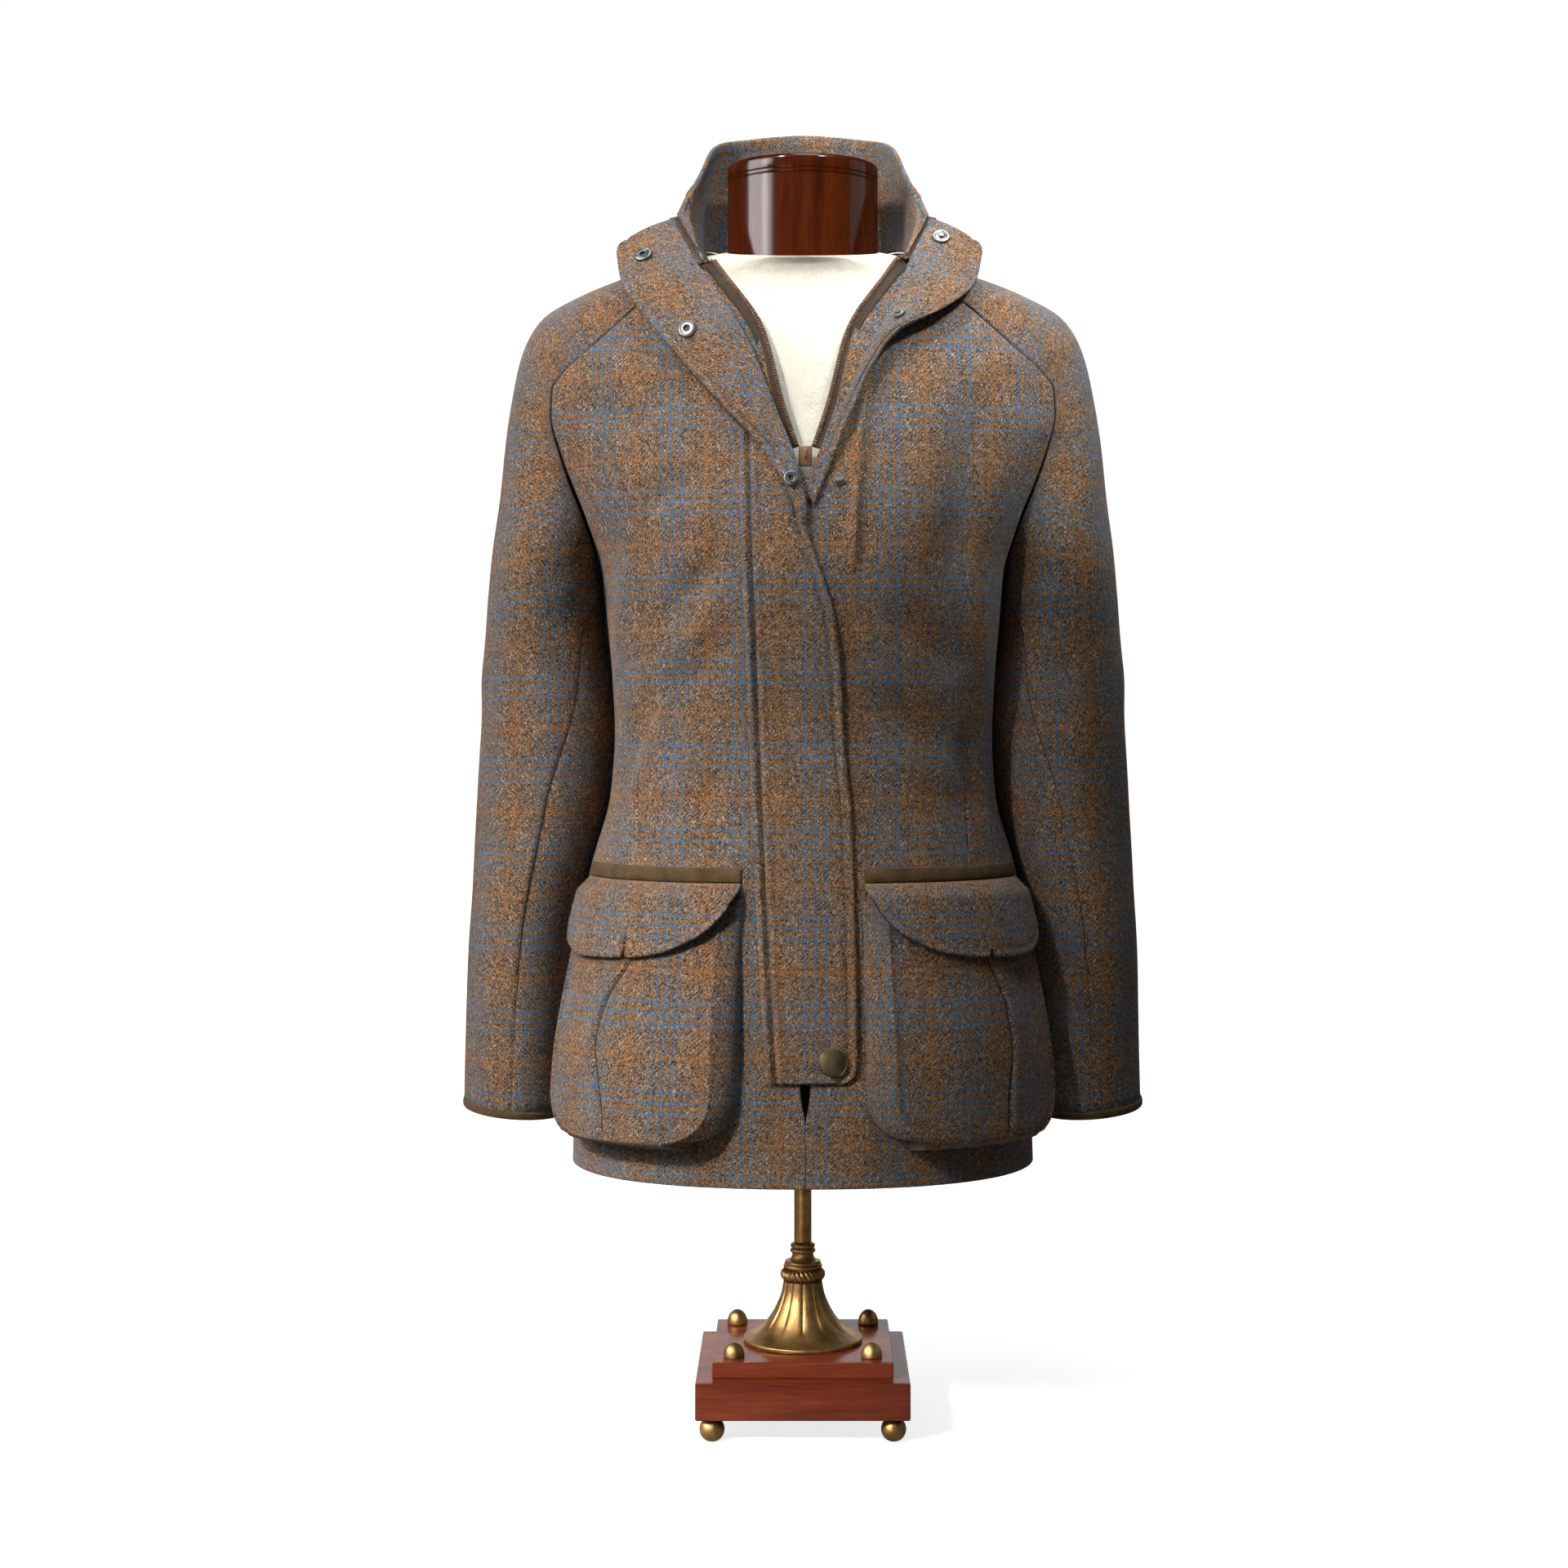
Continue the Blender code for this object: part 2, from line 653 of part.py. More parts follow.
def make_zip(tape, metal, parent):
    for side, centre in (("left", CENTRE_X), ("right", -CENTRE_X)):
        edge, normals, inward = zip_edge(centre)
        points = np.array([edge + inward * SEAM_GAP, edge + inward * ZIP_TAPE])
        both = np.array([normals, normals])
        wall("zip_tape_" + side, sided(side, points), sided(side, both), TRIM_CLOTH, tape, parent)
    rows, normals = [], []
    for z in np.linspace(*ZIP_CHAIN_Z, 11):
        edges = [angle_at(CENTRE_X + x, z) for x in (-ZIP_CHAIN_WIDTH / 2, 0, ZIP_CHAIN_WIDTH / 2)]
        rows.append([on_body(a, z, -CLOTH - ZIP_CHAIN_GAP) for a in edges])
        normals.append([torso_normal(a, z) for a in edges])
    wall("zip_closed", rows, normals, TRIM_CLOTH, tape, parent)
    bpy.ops.mesh.primitive_cube_add(size=1)
    slider = bpy.context.object
    slider.name = "zip_slider"
    slider.data.transform(Matrix.Diagonal((*(s * MM for s in SLIDER_SIZE), 1)))
    slider.location = (CENTRE_X * MM, (torso_point(0, SLIDER_Z)[1] + SLIDER_SINK) * MM, SLIDER_Z * MM)
    rounded = slider.modifiers.new("round", "BEVEL")
    rounded.width = 1.5 * MM
    rounded.segments = 2
    slider.data.materials.append(metal)
    slider.parent = parent


def lapel_point(side, share, across):
    table = LAPELS[side]
    roll = np.array([table.at("roll_" + name, share) for name in "xyz"])
    edge = np.array([table.at("edge_" + name, share) for name in "xyz"])
    bow = LAPEL_BOW * math.sin(math.pi * across) * min(1.0, np.linalg.norm(edge - roll) / 40)
    return roll + (edge - roll) * across + np.array([0, -bow, bow * 0.4])


def lapel_sheet(side):
    across = np.linspace(0, 1, LAPEL_COLUMNS)
    points = np.array([[lapel_point(side, s, c) for c in across] for s in LAPEL_SHARES])
    return points, sheet_normals(points, np.array([0.0, -1.0, 0.35]))


def make_front_flaps(look, parent):
    for side in LAPELS:
        points, normals = lapel_sheet(side)
        wall("lapel_" + side, sided(side, points), sided(side, normals), LAPEL_CLOTH, look, parent)
    points, normals = [], []
    for z in STORM_ROWS:
        edges = np.linspace(STORM_FLAP.at("seam_x", z), STORM_FLAP.at("free_x", z), STORM_COLUMNS)
        angles = [angle_at(x, z) for x in edges]
        points.append([on_body(a, z, OVERLAY_GAP + FLAP_CLOTH) for a in angles])
        normals.append([torso_normal(a, z) for a in angles])
    wall("storm_flap", points, normals, FLAP_CLOTH, look, parent)


def pocket_rows():
    # Each row as its height, how far its depth has risen, and its two ends in degrees.
    low, high = POCKET_ANGLES
    floor = POCKET_HEIGHTS[-1]
    rows = []
    for z in POCKET_HEIGHTS:
        inside = max(0.0, POCKET_CORNER - (z - floor))
        pull = POCKET_CORNER - math.sqrt(POCKET_CORNER**2 - inside**2)
        turn = math.degrees(pull / TORSO.at("half_width", z))
        rows.append((z, 1.0, low + turn, high - turn))
    for z, rise in POCKET_RIM_ROWS:
        rows.append((z, rise, rows[-1][2], rows[-1][3]))
    return rows


def make_pocket_bag(side, look, parent):
    points, seats = [], []
    for z, rise, low, high in reversed(pocket_rows()):
        inner = [low + g for g in POCKET_GUSSET]
        outer = [high - g for g in reversed(POCKET_GUSSET)]
        face = [inner[-1] + (outer[0] - inner[-1]) * s for s in POCKET_SHARES]
        degrees = inner[:-1] + face + outer[1:]
        share = [0.0, GUSSET_RISE] + [1.0] * len(face) + [GUSSET_RISE, 0.0]
        depth = POCKET_DEPTH.at("depth", z)
        row = []
        for turn, part in zip(degrees, share):
            row.append(on_body(math.radians(turn), z, POCKET_RIM + depth * min(part, rise)))
        points.append(row)
        seats.append([torso_normal(math.radians(turn), z) for turn in degrees])
    points, seats = np.array(points), np.array(seats)
    normals = sheet_normals(points, seats)
    for border in (np.s_[:, 0], np.s_[:, -1], np.s_[0, :]):
        rising = np.sum(normals[border] * seats[border], axis=1, keepdims=True)
        lying = normals[border] - seats[border] * rising
        normals[border] = lying / np.linalg.norm(lying, axis=1, keepdims=True)
    wall("pocket_bag_" + side, sided(side, points), sided(side, normals), CLOTH, look, parent)


def make_pocket_flap(side, look, trim, parent):
    low, high = (math.radians(turn) for turn in POCKET_FLAP_ANGLES)
    points, strip, strip_normals = [], [], []
    for share in POCKET_FLAP_ROWS:
        row = []
        for across in np.linspace(0, 1, POCKET_FLAP_COLUMNS):
            z = POCKET_FLAP_TOP + (POCKET_FLAP.at("low_z", across) - POCKET_FLAP_TOP) * share
            reach = min(1.0, (POCKET_FLAP_TOP - z) / POCKET_FLAP_TURN)
            lift = FLAP_SEAT + CLOTH + (POCKET_DEPTH.at("depth", z) + POCKET_FLAP_LIFT) * reach
            row.append(on_body(low + (high - low) * across, z, lift))
        points.append(row)
    points = np.array(points)
    normals = sheet_normals(points, points * np.array([1.0, 1.0, 0.0]))
    wall("pocket_flap_" + side, sided(side, points), sided(side, normals), CLOTH, look, parent)
    for z in BINDING_Z:
        angles = np.linspace(low, high, POCKET_FLAP_COLUMNS)
        strip.append([on_body(a, z, FLAP_SEAT + TRIM_CLOTH) for a in angles])
        strip_normals.append([torso_normal(a, z) for a in angles])
    wall("pocket_binding_" + side, sided(side, strip), sided(side, strip_normals), TRIM_CLOTH, trim, parent)


def turned(name, profile, sides, look, parent, place=(0, 0, 0)):
    # A solid of revolution about Z from radius and height pairs, closed on the axis at both ends.
    shape = bmesh.new()
    outline = [(0.0, profile[0][1])] + list(profile) + [(0.0, profile[-1][1])]
    corners = [shape.verts.new((radius * MM, 0, z * MM)) for radius, z in outline]
    edges = [shape.edges.new(pair) for pair in zip(corners, corners[1:])]
    whole_turn = {"axis": (0, 0, 1), "cent": (0, 0, 0), "angle": 2 * math.pi, "use_merge": True}
    bmesh.ops.spin(shape, geom=corners + edges, steps=sides, **whole_turn)
    bmesh.ops.remove_doubles(shape, verts=shape.verts, dist=0.002 * MM)
    bmesh.ops.recalc_face_normals(shape, faces=shape.faces)
    mesh = bpy.data.meshes.new(name)
    shape.to_mesh(mesh)
    shape.free()
    mesh.shade_smooth()
    mesh.set_sharp_from_angle(angle=math.radians(40))
    made = add_object(name, mesh, look, parent)
    made.location = Vector(place) * MM
    return made


def snap_profile(diameter, height, dish):
    radius = diameter / 2
    return (
        (radius, 0.0),
        (radius, height * 0.45),
        (radius * 0.8, height),
        (radius * 0.45, height),
        (radius * 0.38, height - dish),
    )


def seat_snap(name, point, normal, profile, look, parent):
    made = turned(name, profile, SNAP_SIDES, look, parent)
    normal = Vector(normal)
    made.rotation_euler = normal.to_track_quat("Z", "Y").to_euler()
    made.location = (Vector(point) + normal * SEAM_GAP) * MM


def make_snaps(steel, brass, parent):
    socket = snap_profile(SNAP_DIAMETER, SNAP_HEIGHT, SNAP_DISH)
    low_socket = snap_profile(LOW_SNAP_DIAMETER, SNAP_HEIGHT, SNAP_DISH)
    top_stud = snap_profile(SNAP_DIAMETER, SNAP_HEIGHT, -SNAP_DISH)
    stud = snap_profile(STUD_DIAMETER, STUD_HEIGHT, -SNAP_DISH)
    places = (
        ("snap_socket_top", "right", 0.12, 0.62, socket),
        ("snap_socket_middle", "right", 0.51, 0.66, socket),
        ("snap_socket_low", "right", 0.95, 0.5, low_socket),
        ("snap_stud_top", "left", 0.06, 0.3, top_stud),
        ("snap_stud_middle", "left", 0.43, 0.3, stud),
    )
    step = 0.01
    for name, side, share, across, profile in places:
        down = lapel_point(side, share + step, across) - lapel_point(side, share - step, across)
        over = lapel_point(side, share, across + step) - lapel_point(side, share, across - step)
        normal = unit(np.cross(over, down))
        normal = normal if normal[1] < 0 else -normal
        point = sided(side, lapel_point(side, share, across))
        seat_snap(name, point, sided(side, normal), profile, steel, parent)
    stud_x, stud_z = LOW_STUD_PLACE
    angle = angle_at(stud_x, stud_z)
    seat_snap("snap_stud_low", torso_point(angle, stud_z), torso_normal(angle, stud_z), stud, steel, parent)
    cap_x, cap_z = CAP_PLACE
    angle = angle_at(cap_x, cap_z)
    radius = CAP_DIAMETER / 2
    dome = ((radius, 0.0), (radius, 1.2), (radius * 0.85, 2.6), (radius * 0.5, 3.4))
    cap_point = on_body(angle, cap_z, OVERLAY_GAP + FLAP_CLOTH)
    seat_snap("snap_cap", cap_point, torso_normal(angle, cap_z), dome, brass, parent)


def make_form(linen, wood, parent):
    rings = []
    for z, half_width, front, back, tilt in BUST.rows:
        ring = []
        for turn in np.linspace(0, 2 * math.pi, BUST_SIDES, endpoint=False):
            sine, cosine = math.sin(turn), math.cos(turn)
            depth = front if cosine > 0 else back
            y = -depth * math.copysign(abs(cosine) ** ROUNDNESS, cosine)
            ring.append((half_width * math.copysign(abs(sine) ** ROUNDNESS, sine), y, z + tilt * y))
        rings.append(ring)
    points = np.array(rings).reshape(-1, 3)
    faces = [list(range(BUST_SIDES)), list(range(len(points) - BUST_SIDES, len(points)))]
    for row in range(len(rings) - 1):
        for side in range(BUST_SIDES):
            after = (side + 1) % BUST_SIDES
            low, high = row * BUST_SIDES, (row + 1) * BUST_SIDES
            faces.append([low + side, low + after, high + after, high + side])
    add_object("form_bust", mesh_from("form_bust", points, faces), linen, parent)
    foot_z = BUST_TOP_Z + SEAM_GAP
    profile = [(radius, NECK_TOP_Z - drop) for radius, drop in NECK_PROFILE] + [(NECK_RADIUS, foot_z)]
    neck = turned("form_neck", profile, ROUND_SIDES, wood, parent, (0, NECK_Y, 0))
    for corner in neck.data.vertices:
        if corner.co.z < (foot_z + 0.1) * MM:
            corner.co.z += NECK_TILT * (corner.co.y + NECK_Y * MM)


def fluted_foot(look, parent):
    sides = FOOT_PETALS * 3
    points, faces = [], []
    for z in FOOT_HEIGHTS:
        fade = max(0.0, min(1.0, (z - 65) / 6))
        for turn in np.linspace(0, 2 * math.pi, sides, endpoint=False):
            groove = FOOT_GROOVE * fade * (0.5 + 0.5 * math.cos(FOOT_PETALS * turn)) ** 4
            radius = FOOT_PROFILE.at("radius", z) * (1 - groove)
            points.append((radius * math.cos(turn), radius * math.sin(turn), z))
    for row in range(len(FOOT_HEIGHTS) - 1):
        for side in range(sides):
            after = (side + 1) % sides
            low, high = row * sides, (row + 1) * sides
            faces.append([low + side, low + after, high + after, high + side])
    faces += [list(range(sides)), list(range(len(points) - sides, len(points)))]
    add_object("stand_foot", mesh_from("stand_foot", points, faces), look, parent)


def slab(name, side, heights, look, parent):
    bpy.ops.mesh.primitive_cube_add(size=1)
    made = bpy.context.object
    made.name = name
    low, high = heights
    made.data.transform(Matrix.Diagonal((side * MM, side * MM, (high - low) * MM, 1)))
    made.location = (0, 0, (low + high) / 2 * MM)
    rounded = made.modifiers.new("round", "BEVEL")
    rounded.width = 1.2 * MM
    rounded.segments = 2
    made.data.materials.append(look)
    made.parent = parent


def make_stand(wood, brass, parent):
    ball_top = BALL_DIAMETER - 2 * BALL_FLAT
    slab("plinth_lower", PLINTH_SIDE, (ball_top + SEAM_GAP, PLINTH_TOP_Z), wood, parent)
    slab("plinth_upper", STEP_SIDE, STEP_Z, wood, parent)
    ball = BALL_DIAMETER / 2
    flat = math.acos(1 - BALL_FLAT / ball)
    turns = np.linspace(-math.pi + flat, -flat, 6)
    ball_profile = [(-ball * math.sin(t), ball * math.cos(t) + ball - BALL_FLAT) for t in turns]
    knob_rise = np.linspace(0, 1, 4)
    knob_profile = [(KNOB_DIAMETER / 2 * math.sqrt(1 - 0.98 * v * v), KNOB_HEIGHT * v) for v in knob_rise]
    for row, y in (("front", -1), ("back", 1)):
        for side, x in (("right", -1), ("left", 1)):
            corner = f"{row}_{side}"
            ball_at = (x * BALL_PLACE, y * BALL_PLACE, 0)
            turned("ball_foot_" + corner, ball_profile, SMALL_SIDES, brass, parent, ball_at)
            knob_at = (x * KNOB_PLACE, y * KNOB_PLACE, STEP_Z[1] + SEAM_GAP)
            turned("knob_" + corner, knob_profile, SMALL_SIDES, brass, parent, knob_at)
    fluted_foot(brass, parent)
    turns = np.linspace(0, math.pi, 5)
    bead = []
    for t in turns:
        bead.append((ROPE_RADIUS + ROPE_THICKNESS * math.sin(t), ROPE_Z - ROPE_THICKNESS * math.cos(t)))
    turned("rope_ring", bead, ROUND_SIDES, brass, parent)
    turned("baluster", BALUSTER_PROFILE, ROUND_SIDES, brass, parent)
    pole_top = BUST.rows[0, 0] - SEAM_GAP
    pole_radius = POLE_DIAMETER / 2
    turned("pole", ((pole_radius, POLE_FOOT_Z), (pole_radius, pole_top)), ROUND_SIDES, brass, parent)


def build():
    clear_scene()
    whole = bpy.data.objects.new("coat_on_stand", None)
    bpy.context.collection.objects.link(whole)
    whole.location.y = DEPTH_SHIFT * MM
    tweed = material("tweed", (0.19, 0.13, 0.09), 0.9)
    binding = material("binding", (0.11, 0.06, 0.03), 0.85)
    tape = material("zip_tape", (0.07, 0.03, 0.02), 0.8)
    steel = material("gunmetal", (0.25, 0.24, 0.23), 0.35, 1.0)
    brass = material("antique_brass", (0.35, 0.22, 0.1), 0.35, 1.0)
    linen = material("linen", (0.72, 0.66, 0.56), 0.9)
    wood = material("mahogany", (0.16, 0.035, 0.015), 0.3)
    make_fronts(tweed, whole)
    make_back(tweed, whole)
    make_sleeves(tweed, binding, whole)
    make_collar(tweed, whole)
    make_zip(tape, steel, whole)
    make_front_flaps(tweed, whole)
    for side in ("right", "left"):
        make_pocket_bag(side, tweed, whole)
        make_pocket_flap(side, tweed, binding, whole)
    make_snaps(steel, brass, whole)
    make_form(linen, wood, whole)
    make_stand(wood, brass, whole)


build()
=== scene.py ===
import math

import bpy
import numpy as np
from mathutils import Matrix, Vector


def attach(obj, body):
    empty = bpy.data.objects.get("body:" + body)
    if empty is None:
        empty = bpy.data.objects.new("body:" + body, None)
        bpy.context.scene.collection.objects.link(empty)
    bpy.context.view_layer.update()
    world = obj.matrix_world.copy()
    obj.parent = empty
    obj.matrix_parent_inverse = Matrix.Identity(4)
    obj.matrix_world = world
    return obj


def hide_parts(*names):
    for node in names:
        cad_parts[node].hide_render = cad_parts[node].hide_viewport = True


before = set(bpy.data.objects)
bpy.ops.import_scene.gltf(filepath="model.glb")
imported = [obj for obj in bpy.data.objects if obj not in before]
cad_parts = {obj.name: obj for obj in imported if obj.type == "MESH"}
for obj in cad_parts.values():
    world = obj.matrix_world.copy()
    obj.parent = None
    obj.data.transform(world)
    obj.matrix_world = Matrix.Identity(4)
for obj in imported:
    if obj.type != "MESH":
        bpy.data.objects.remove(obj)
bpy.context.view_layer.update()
print("frame loaded")

mm = 0.001
depthShift = 9.65      # the pole stands this far behind the middle of the depth
closingX = 2.0         # the fronts close this far to the wearer's left
roundness = 0.87
thickness = {"panel": 2.0, "collar": 3.0, "flap": 3.0, "lapel": 2.5, "trim": 1.6}


# sizes

def sizeTable(names, *rows):
    # named columns, read between rows on a smooth curve that doesn't overshoot
    names = names.split()
    rows = np.array(rows, float)
    keys = rows[:, 0]
    slopes = np.diff(rows, axis=0) / np.diff(keys)[:, None]
    before, after = slopes[:-1], slopes[1:]
    sameWay = before * after > 0
    total = np.where(sameWay, before + after, 1.0)
    middle = np.where(sameWay, 2 * before * after / total, 0.0)
    tangents = np.vstack([slopes[:1], middle, slopes[-1:]])

    def at(name, where):
        column = names.index(name)
        where = np.clip(where, keys[0], keys[-1])
        row = np.clip(np.searchsorted(keys, where, side="right") - 1, 0, len(keys) - 2)
        step = keys[row + 1] - keys[row]
        t = (where - keys[row]) / step
        start, end = rows[row, column], rows[row + 1, column]
        leave, arrive = tangents[row, column] * step, tangents[row + 1, column] * step
        rise = t * t * (3 - 2 * t)
        return start + (end - start) * rise + t * (1 - t) * (leave * (1 - t) - arrive * t)

    return at


bodySizes = sizeTable(
    "z halfWidth front back",
    (214, 188, 150, 148),
    (330, 184, 142, 137),
    (440, 175, 128, 118),
    (511, 157, 118, 104),
    (558, 154, 116, 100),
    (605, 156, 122, 101),
    (650, 160, 130, 102),
    (692, 165, 135, 104),
    (732, 185, 132, 107),
    (760, 202, 127, 108),
    (790, 220, 119, 109),
    (812, 232, 113, 108),
    (848, 235, 104, 104),
    (870, 225, 96, 99),
    (901, 190, 85, 92),
    (930, 140, 75, 82),
    (958, 105, 62, 74),
)
frontOpening = sizeTable(
    "z opening",
    (214, 0),
    (256, 0.2),
    (290, 4.5),
    (320, 0),
    (756, 0),
    (775, 9),
    (800, 18),
    (822, 25),
    (848, 31),
    (870, 36),
    (888, 43),
    (902, 54),
    (912, 63),
    (921, 73),
    (930, 82),
)
sleeveNames = "station outerX outerZ frontX frontZ backX backZ halfDepth centreY seamAngle"
sleeveSizes = sizeTable(
    sleeveNames,
    (0, 88, 952, 87, 930, 66, 958, 66, 0, 178),
    (1, 135, 935, 131, 901, 120, 914, 70, 0, 178),
    (2, 180, 917, 165, 870, 162, 874, 74.5, 0, 178),
    (3, 213, 897, 190, 848, 189, 849, 71.5, 0, 178),
    (4, 229, 868, 200, 833, 200, 833, 67.5, 0, 178),
    (5, 238, 826, 201, 812, 201, 812, 67.5, 0, 178),
    (6, 243, 793, 196, 790, 196, 790, 66, 0, 178),
    (7, 248, 750, 186, 760, 186, 760, 65, 0, 178),
    (8, 253, 714, 175, 732, 175, 732, 66, 0, 178),
    (9, 257, 678, 164.99, 692, 164.99, 692, 67, 0, 178),
    (10, 262, 636, 161, 645, 161, 645, 68, 14, 134),
    (11, 267, 575, 154.5, 580, 154.5, 580, 68, 24, 118),
    (12, 271, 495, 163.5, 497, 163.5, 497, 67, 22, 100),
    (13, 275, 395, 184.5, 395, 184.5, 395, 65, 14, 95),
    (14, 278, 262, 193, 254, 193, 254, 62, 10, 93),
)
armpitStation = 9.0
underStation = 9.03      # the rows below the armpit start here
cuffStation = 14.0


# grids and walls

def unit(vectors):
    return vectors / np.maximum(np.linalg.norm(vectors, axis=-1, keepdims=True), 1e-9)


def mirrored(points):
    return np.asarray(points) * np.array([-1.0, 1.0, 1.0])


def sided(side, points):
    return mirrored(points) if side == "right" else np.asarray(points)


def sidedUv(side, uv):
    return uv * np.array([-1.0, 1.0]) if side == "right" else uv


def fromMiddle(points):
    return points * np.array([1.0, 1.0, 0.0])


def circle(sides):
    return np.linspace(0, 2 * math.pi, sides, endpoint=False)


def runAlong(line):
    # the length along a line to each of its points
    return np.concatenate([[0], np.cumsum(np.linalg.norm(np.diff(line, axis=0), axis=1))])


def atPlaces(places, run, values):
    return np.stack([np.interp(places, run, values[:, k]) for k in range(3)], axis=-1)


def hump(where, at, width):
    return np.exp(-((where - at) / width) ** 2)


def humps(where, shape):
    # ridges and dips across a strip: height, place and width of each
    return sum(height * hump(where, at, width) for height, at, width in shape)


def flatRow(u, v):
    return np.stack(np.broadcast_arrays(u, v), axis=-1)


def gridNormals(points, toward, ring=False):
    down = np.gradient(points, axis=0)
    if ring:
        across = np.roll(points, -1, axis=1) - np.roll(points, 1, axis=1)
    else:
        across = np.gradient(points, axis=1)
    normals = unit(np.cross(across, down))
    facing = np.sum(normals * toward, axis=-1).sum()
    return normals if facing > 0 else -normals


def addMesh(name, points, faces, uv=None):
    mesh = bpy.data.meshes.new(name)
    placed = np.asarray(points) * mm + np.array([0, depthShift * mm, 0])
    mesh.from_pydata(placed.tolist(), [], faces)
    if uv is not None:
        corners = np.zeros(len(mesh.loops), int)
        mesh.loops.foreach_get("vertex_index", corners)
        layer = mesh.uv_layers.new(name="weave")
        layer.data.foreach_set("uv", (np.asarray(uv)[corners] * mm).astype(np.float32).ravel())
    mesh.shade_smooth()
    piece = bpy.data.objects.new(name, mesh)
    bpy.context.scene.collection.objects.link(piece)
    return piece


def clothWall(name, points, uv, thick, toward, ring=False):
    # outer points, inner points, and a rounded edge between them
    normals = gridNormals(points, toward, ring)
    rows, columns = points.shape[:2]
    inner = points - normals * thick
    count = rows * columns
    if ring:
        loops = [[(0, c) for c in range(columns)], [(rows - 1, c) for c in reversed(range(columns))]]
    else:
        loop = [(0, c) for c in range(columns)] + [(r, columns - 1) for r in range(1, rows)]
        loop += [(rows - 1, c) for c in range(columns - 2, -1, -1)] + [(r, 0) for r in range(rows - 2, 0, -1)]
        loops = [loop]
    edgePoints, edgeUv, faces = [], [], []

    def corner(r, c):
        return r * columns + c % columns

    spans = columns if ring else columns - 1
    for r in range(rows - 1):
        for c in range(spans):
            square = [corner(r, c), corner(r + 1, c), corner(r + 1, c + 1), corner(r, c + 1)]
            faces.append(square)
            faces.append([count + k for k in reversed(square)])
    first = 2 * count
    for loop in loops:
        size = len(loop)
        for r, c in loop:
            insideR = min(max(r, 1), rows - 2)
            insideC = c if ring else min(max(c, 1), columns - 2)
            outward = points[r, c] - points[insideR, insideC]
            outward = unit(outward - normals[r, c] * np.dot(outward, normals[r, c]))
            edgePoints.append((points[r, c] + inner[r, c]) / 2 + outward * thick * 0.3)
            edgeUv.append(uv[r, c])
        for k in range(size):
            after = (k + 1) % size
            a, b = corner(*loop[k]), corner(*loop[after])
            faces.append([a, b, first + after, first + k])
            faces.append([first + k, first + after, count + b, count + a])
        first += size
    allPoints = np.concatenate([points.reshape(-1, 3), inner.reshape(-1, 3), np.array(edgePoints)])
    allUv = np.concatenate([uv.reshape(-1, 2), uv.reshape(-1, 2), np.array(edgeUv)])
    piece = addMesh(name, allPoints, faces, allUv)
    facesOut(piece)
    return piece


def selectOnly(piece):
    bpy.ops.object.select_all(action="DESELECT")
    piece.select_set(True)
    bpy.context.view_layer.objects.active = piece


def facesOut(piece):
    selectOnly(piece)
    bpy.ops.object.mode_set(mode="EDIT")
    bpy.ops.mesh.select_all(action="SELECT")
    bpy.ops.mesh.normals_make_consistent(inside=False)
    bpy.ops.object.mode_set(mode="OBJECT")


def joinInto(piece, other):
    selectOnly(piece)
    other.select_set(True)
    bpy.ops.object.join()


def raised(points, toward, lift):
    return points + gridNormals(points, toward) * lift[..., None]


def tubeFaces(rings, sides, base=0):
    # squares between rings of points, and a face over each end
    faces = []
    for ring in range(rings - 1):
        a, b = base + ring * sides, base + (ring + 1) * sides
        faces += [[a + k, a + (k + 1) % sides, b + (k + 1) % sides, b + k] for k in range(sides)]
    last = base + (rings - 1) * sides
    return faces + [[base + k for k in reversed(range(sides))], [last + k for k in range(sides)]]


def spread(length, marks, counts):
    # places along a row, close together by its ends and by each mark
    near = np.array([0.0, 0.8, 1.8, 3.4])
    stops = [0.0] + list(marks) + [length]
    places = []
    for start, end, count in zip(stops, stops[1:], counts):
        tight = near * min(1.0, max(end - start, 0.01) / 18)
        places += list(start + tight)
        places += list(np.linspace(start + tight[-1], end - tight[-1], count + 2)[1:-1])
        places += list(end - tight[:0:-1])
    return np.array(places + [length])


def markColumn(counts):
    # the column where spread puts its first mark
    return counts[0] + 7


def softLine(u, v, start, end, width):
    # 1 on a line between two places, fading across it and past its ends
    start, end = np.array(start, float), np.array(end, float)
    way = end - start
    size = np.linalg.norm(way)
    way = way / size
    along = (u - start[0]) * way[0] + (v - start[1]) * way[1]
    across = (u - start[0]) * -way[1] + (v - start[1]) * way[0]
    past = np.maximum(np.maximum(-along, along - size), 0)
    ends = np.clip(np.minimum(along, size - along) / (0.35 * size) + 0.35, 0, 1)
    return np.exp(-(across / width) ** 2 - (past / (1.2 * width)) ** 2) * ends


def creases(u, v, table):
    out = np.zeros_like(u)
    for u0, v0, u1, v1, depth, width in table:
        out += depth * softLine(u, v, (u0, v0), (u1, v1), width)
    return out


def ripple(u, v, size, seed):
    # slow uneven waves, so that no panel is quite flat
    a = np.sin(u / 41 + seed) * np.sin(v / 57 + 1.7 * seed)
    b = np.sin((u + 0.6 * v) / 73 + 2.3 * seed) + 0.6 * np.sin((v - 0.4 * u) / 29 + 0.7 * seed)
    return size * (0.6 * a + 0.4 * b)


# what each piece is made of, set once all of them are there

dressed = []


def keepPiece(piece, finish, node=None):
    if node:
        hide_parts(node)
    dressed.append((piece, finish))


def keepCloth(piece, finish, node):
    keepPiece(piece, finish, node)


# sewing: one joined mesh of stitches for each kind of seam

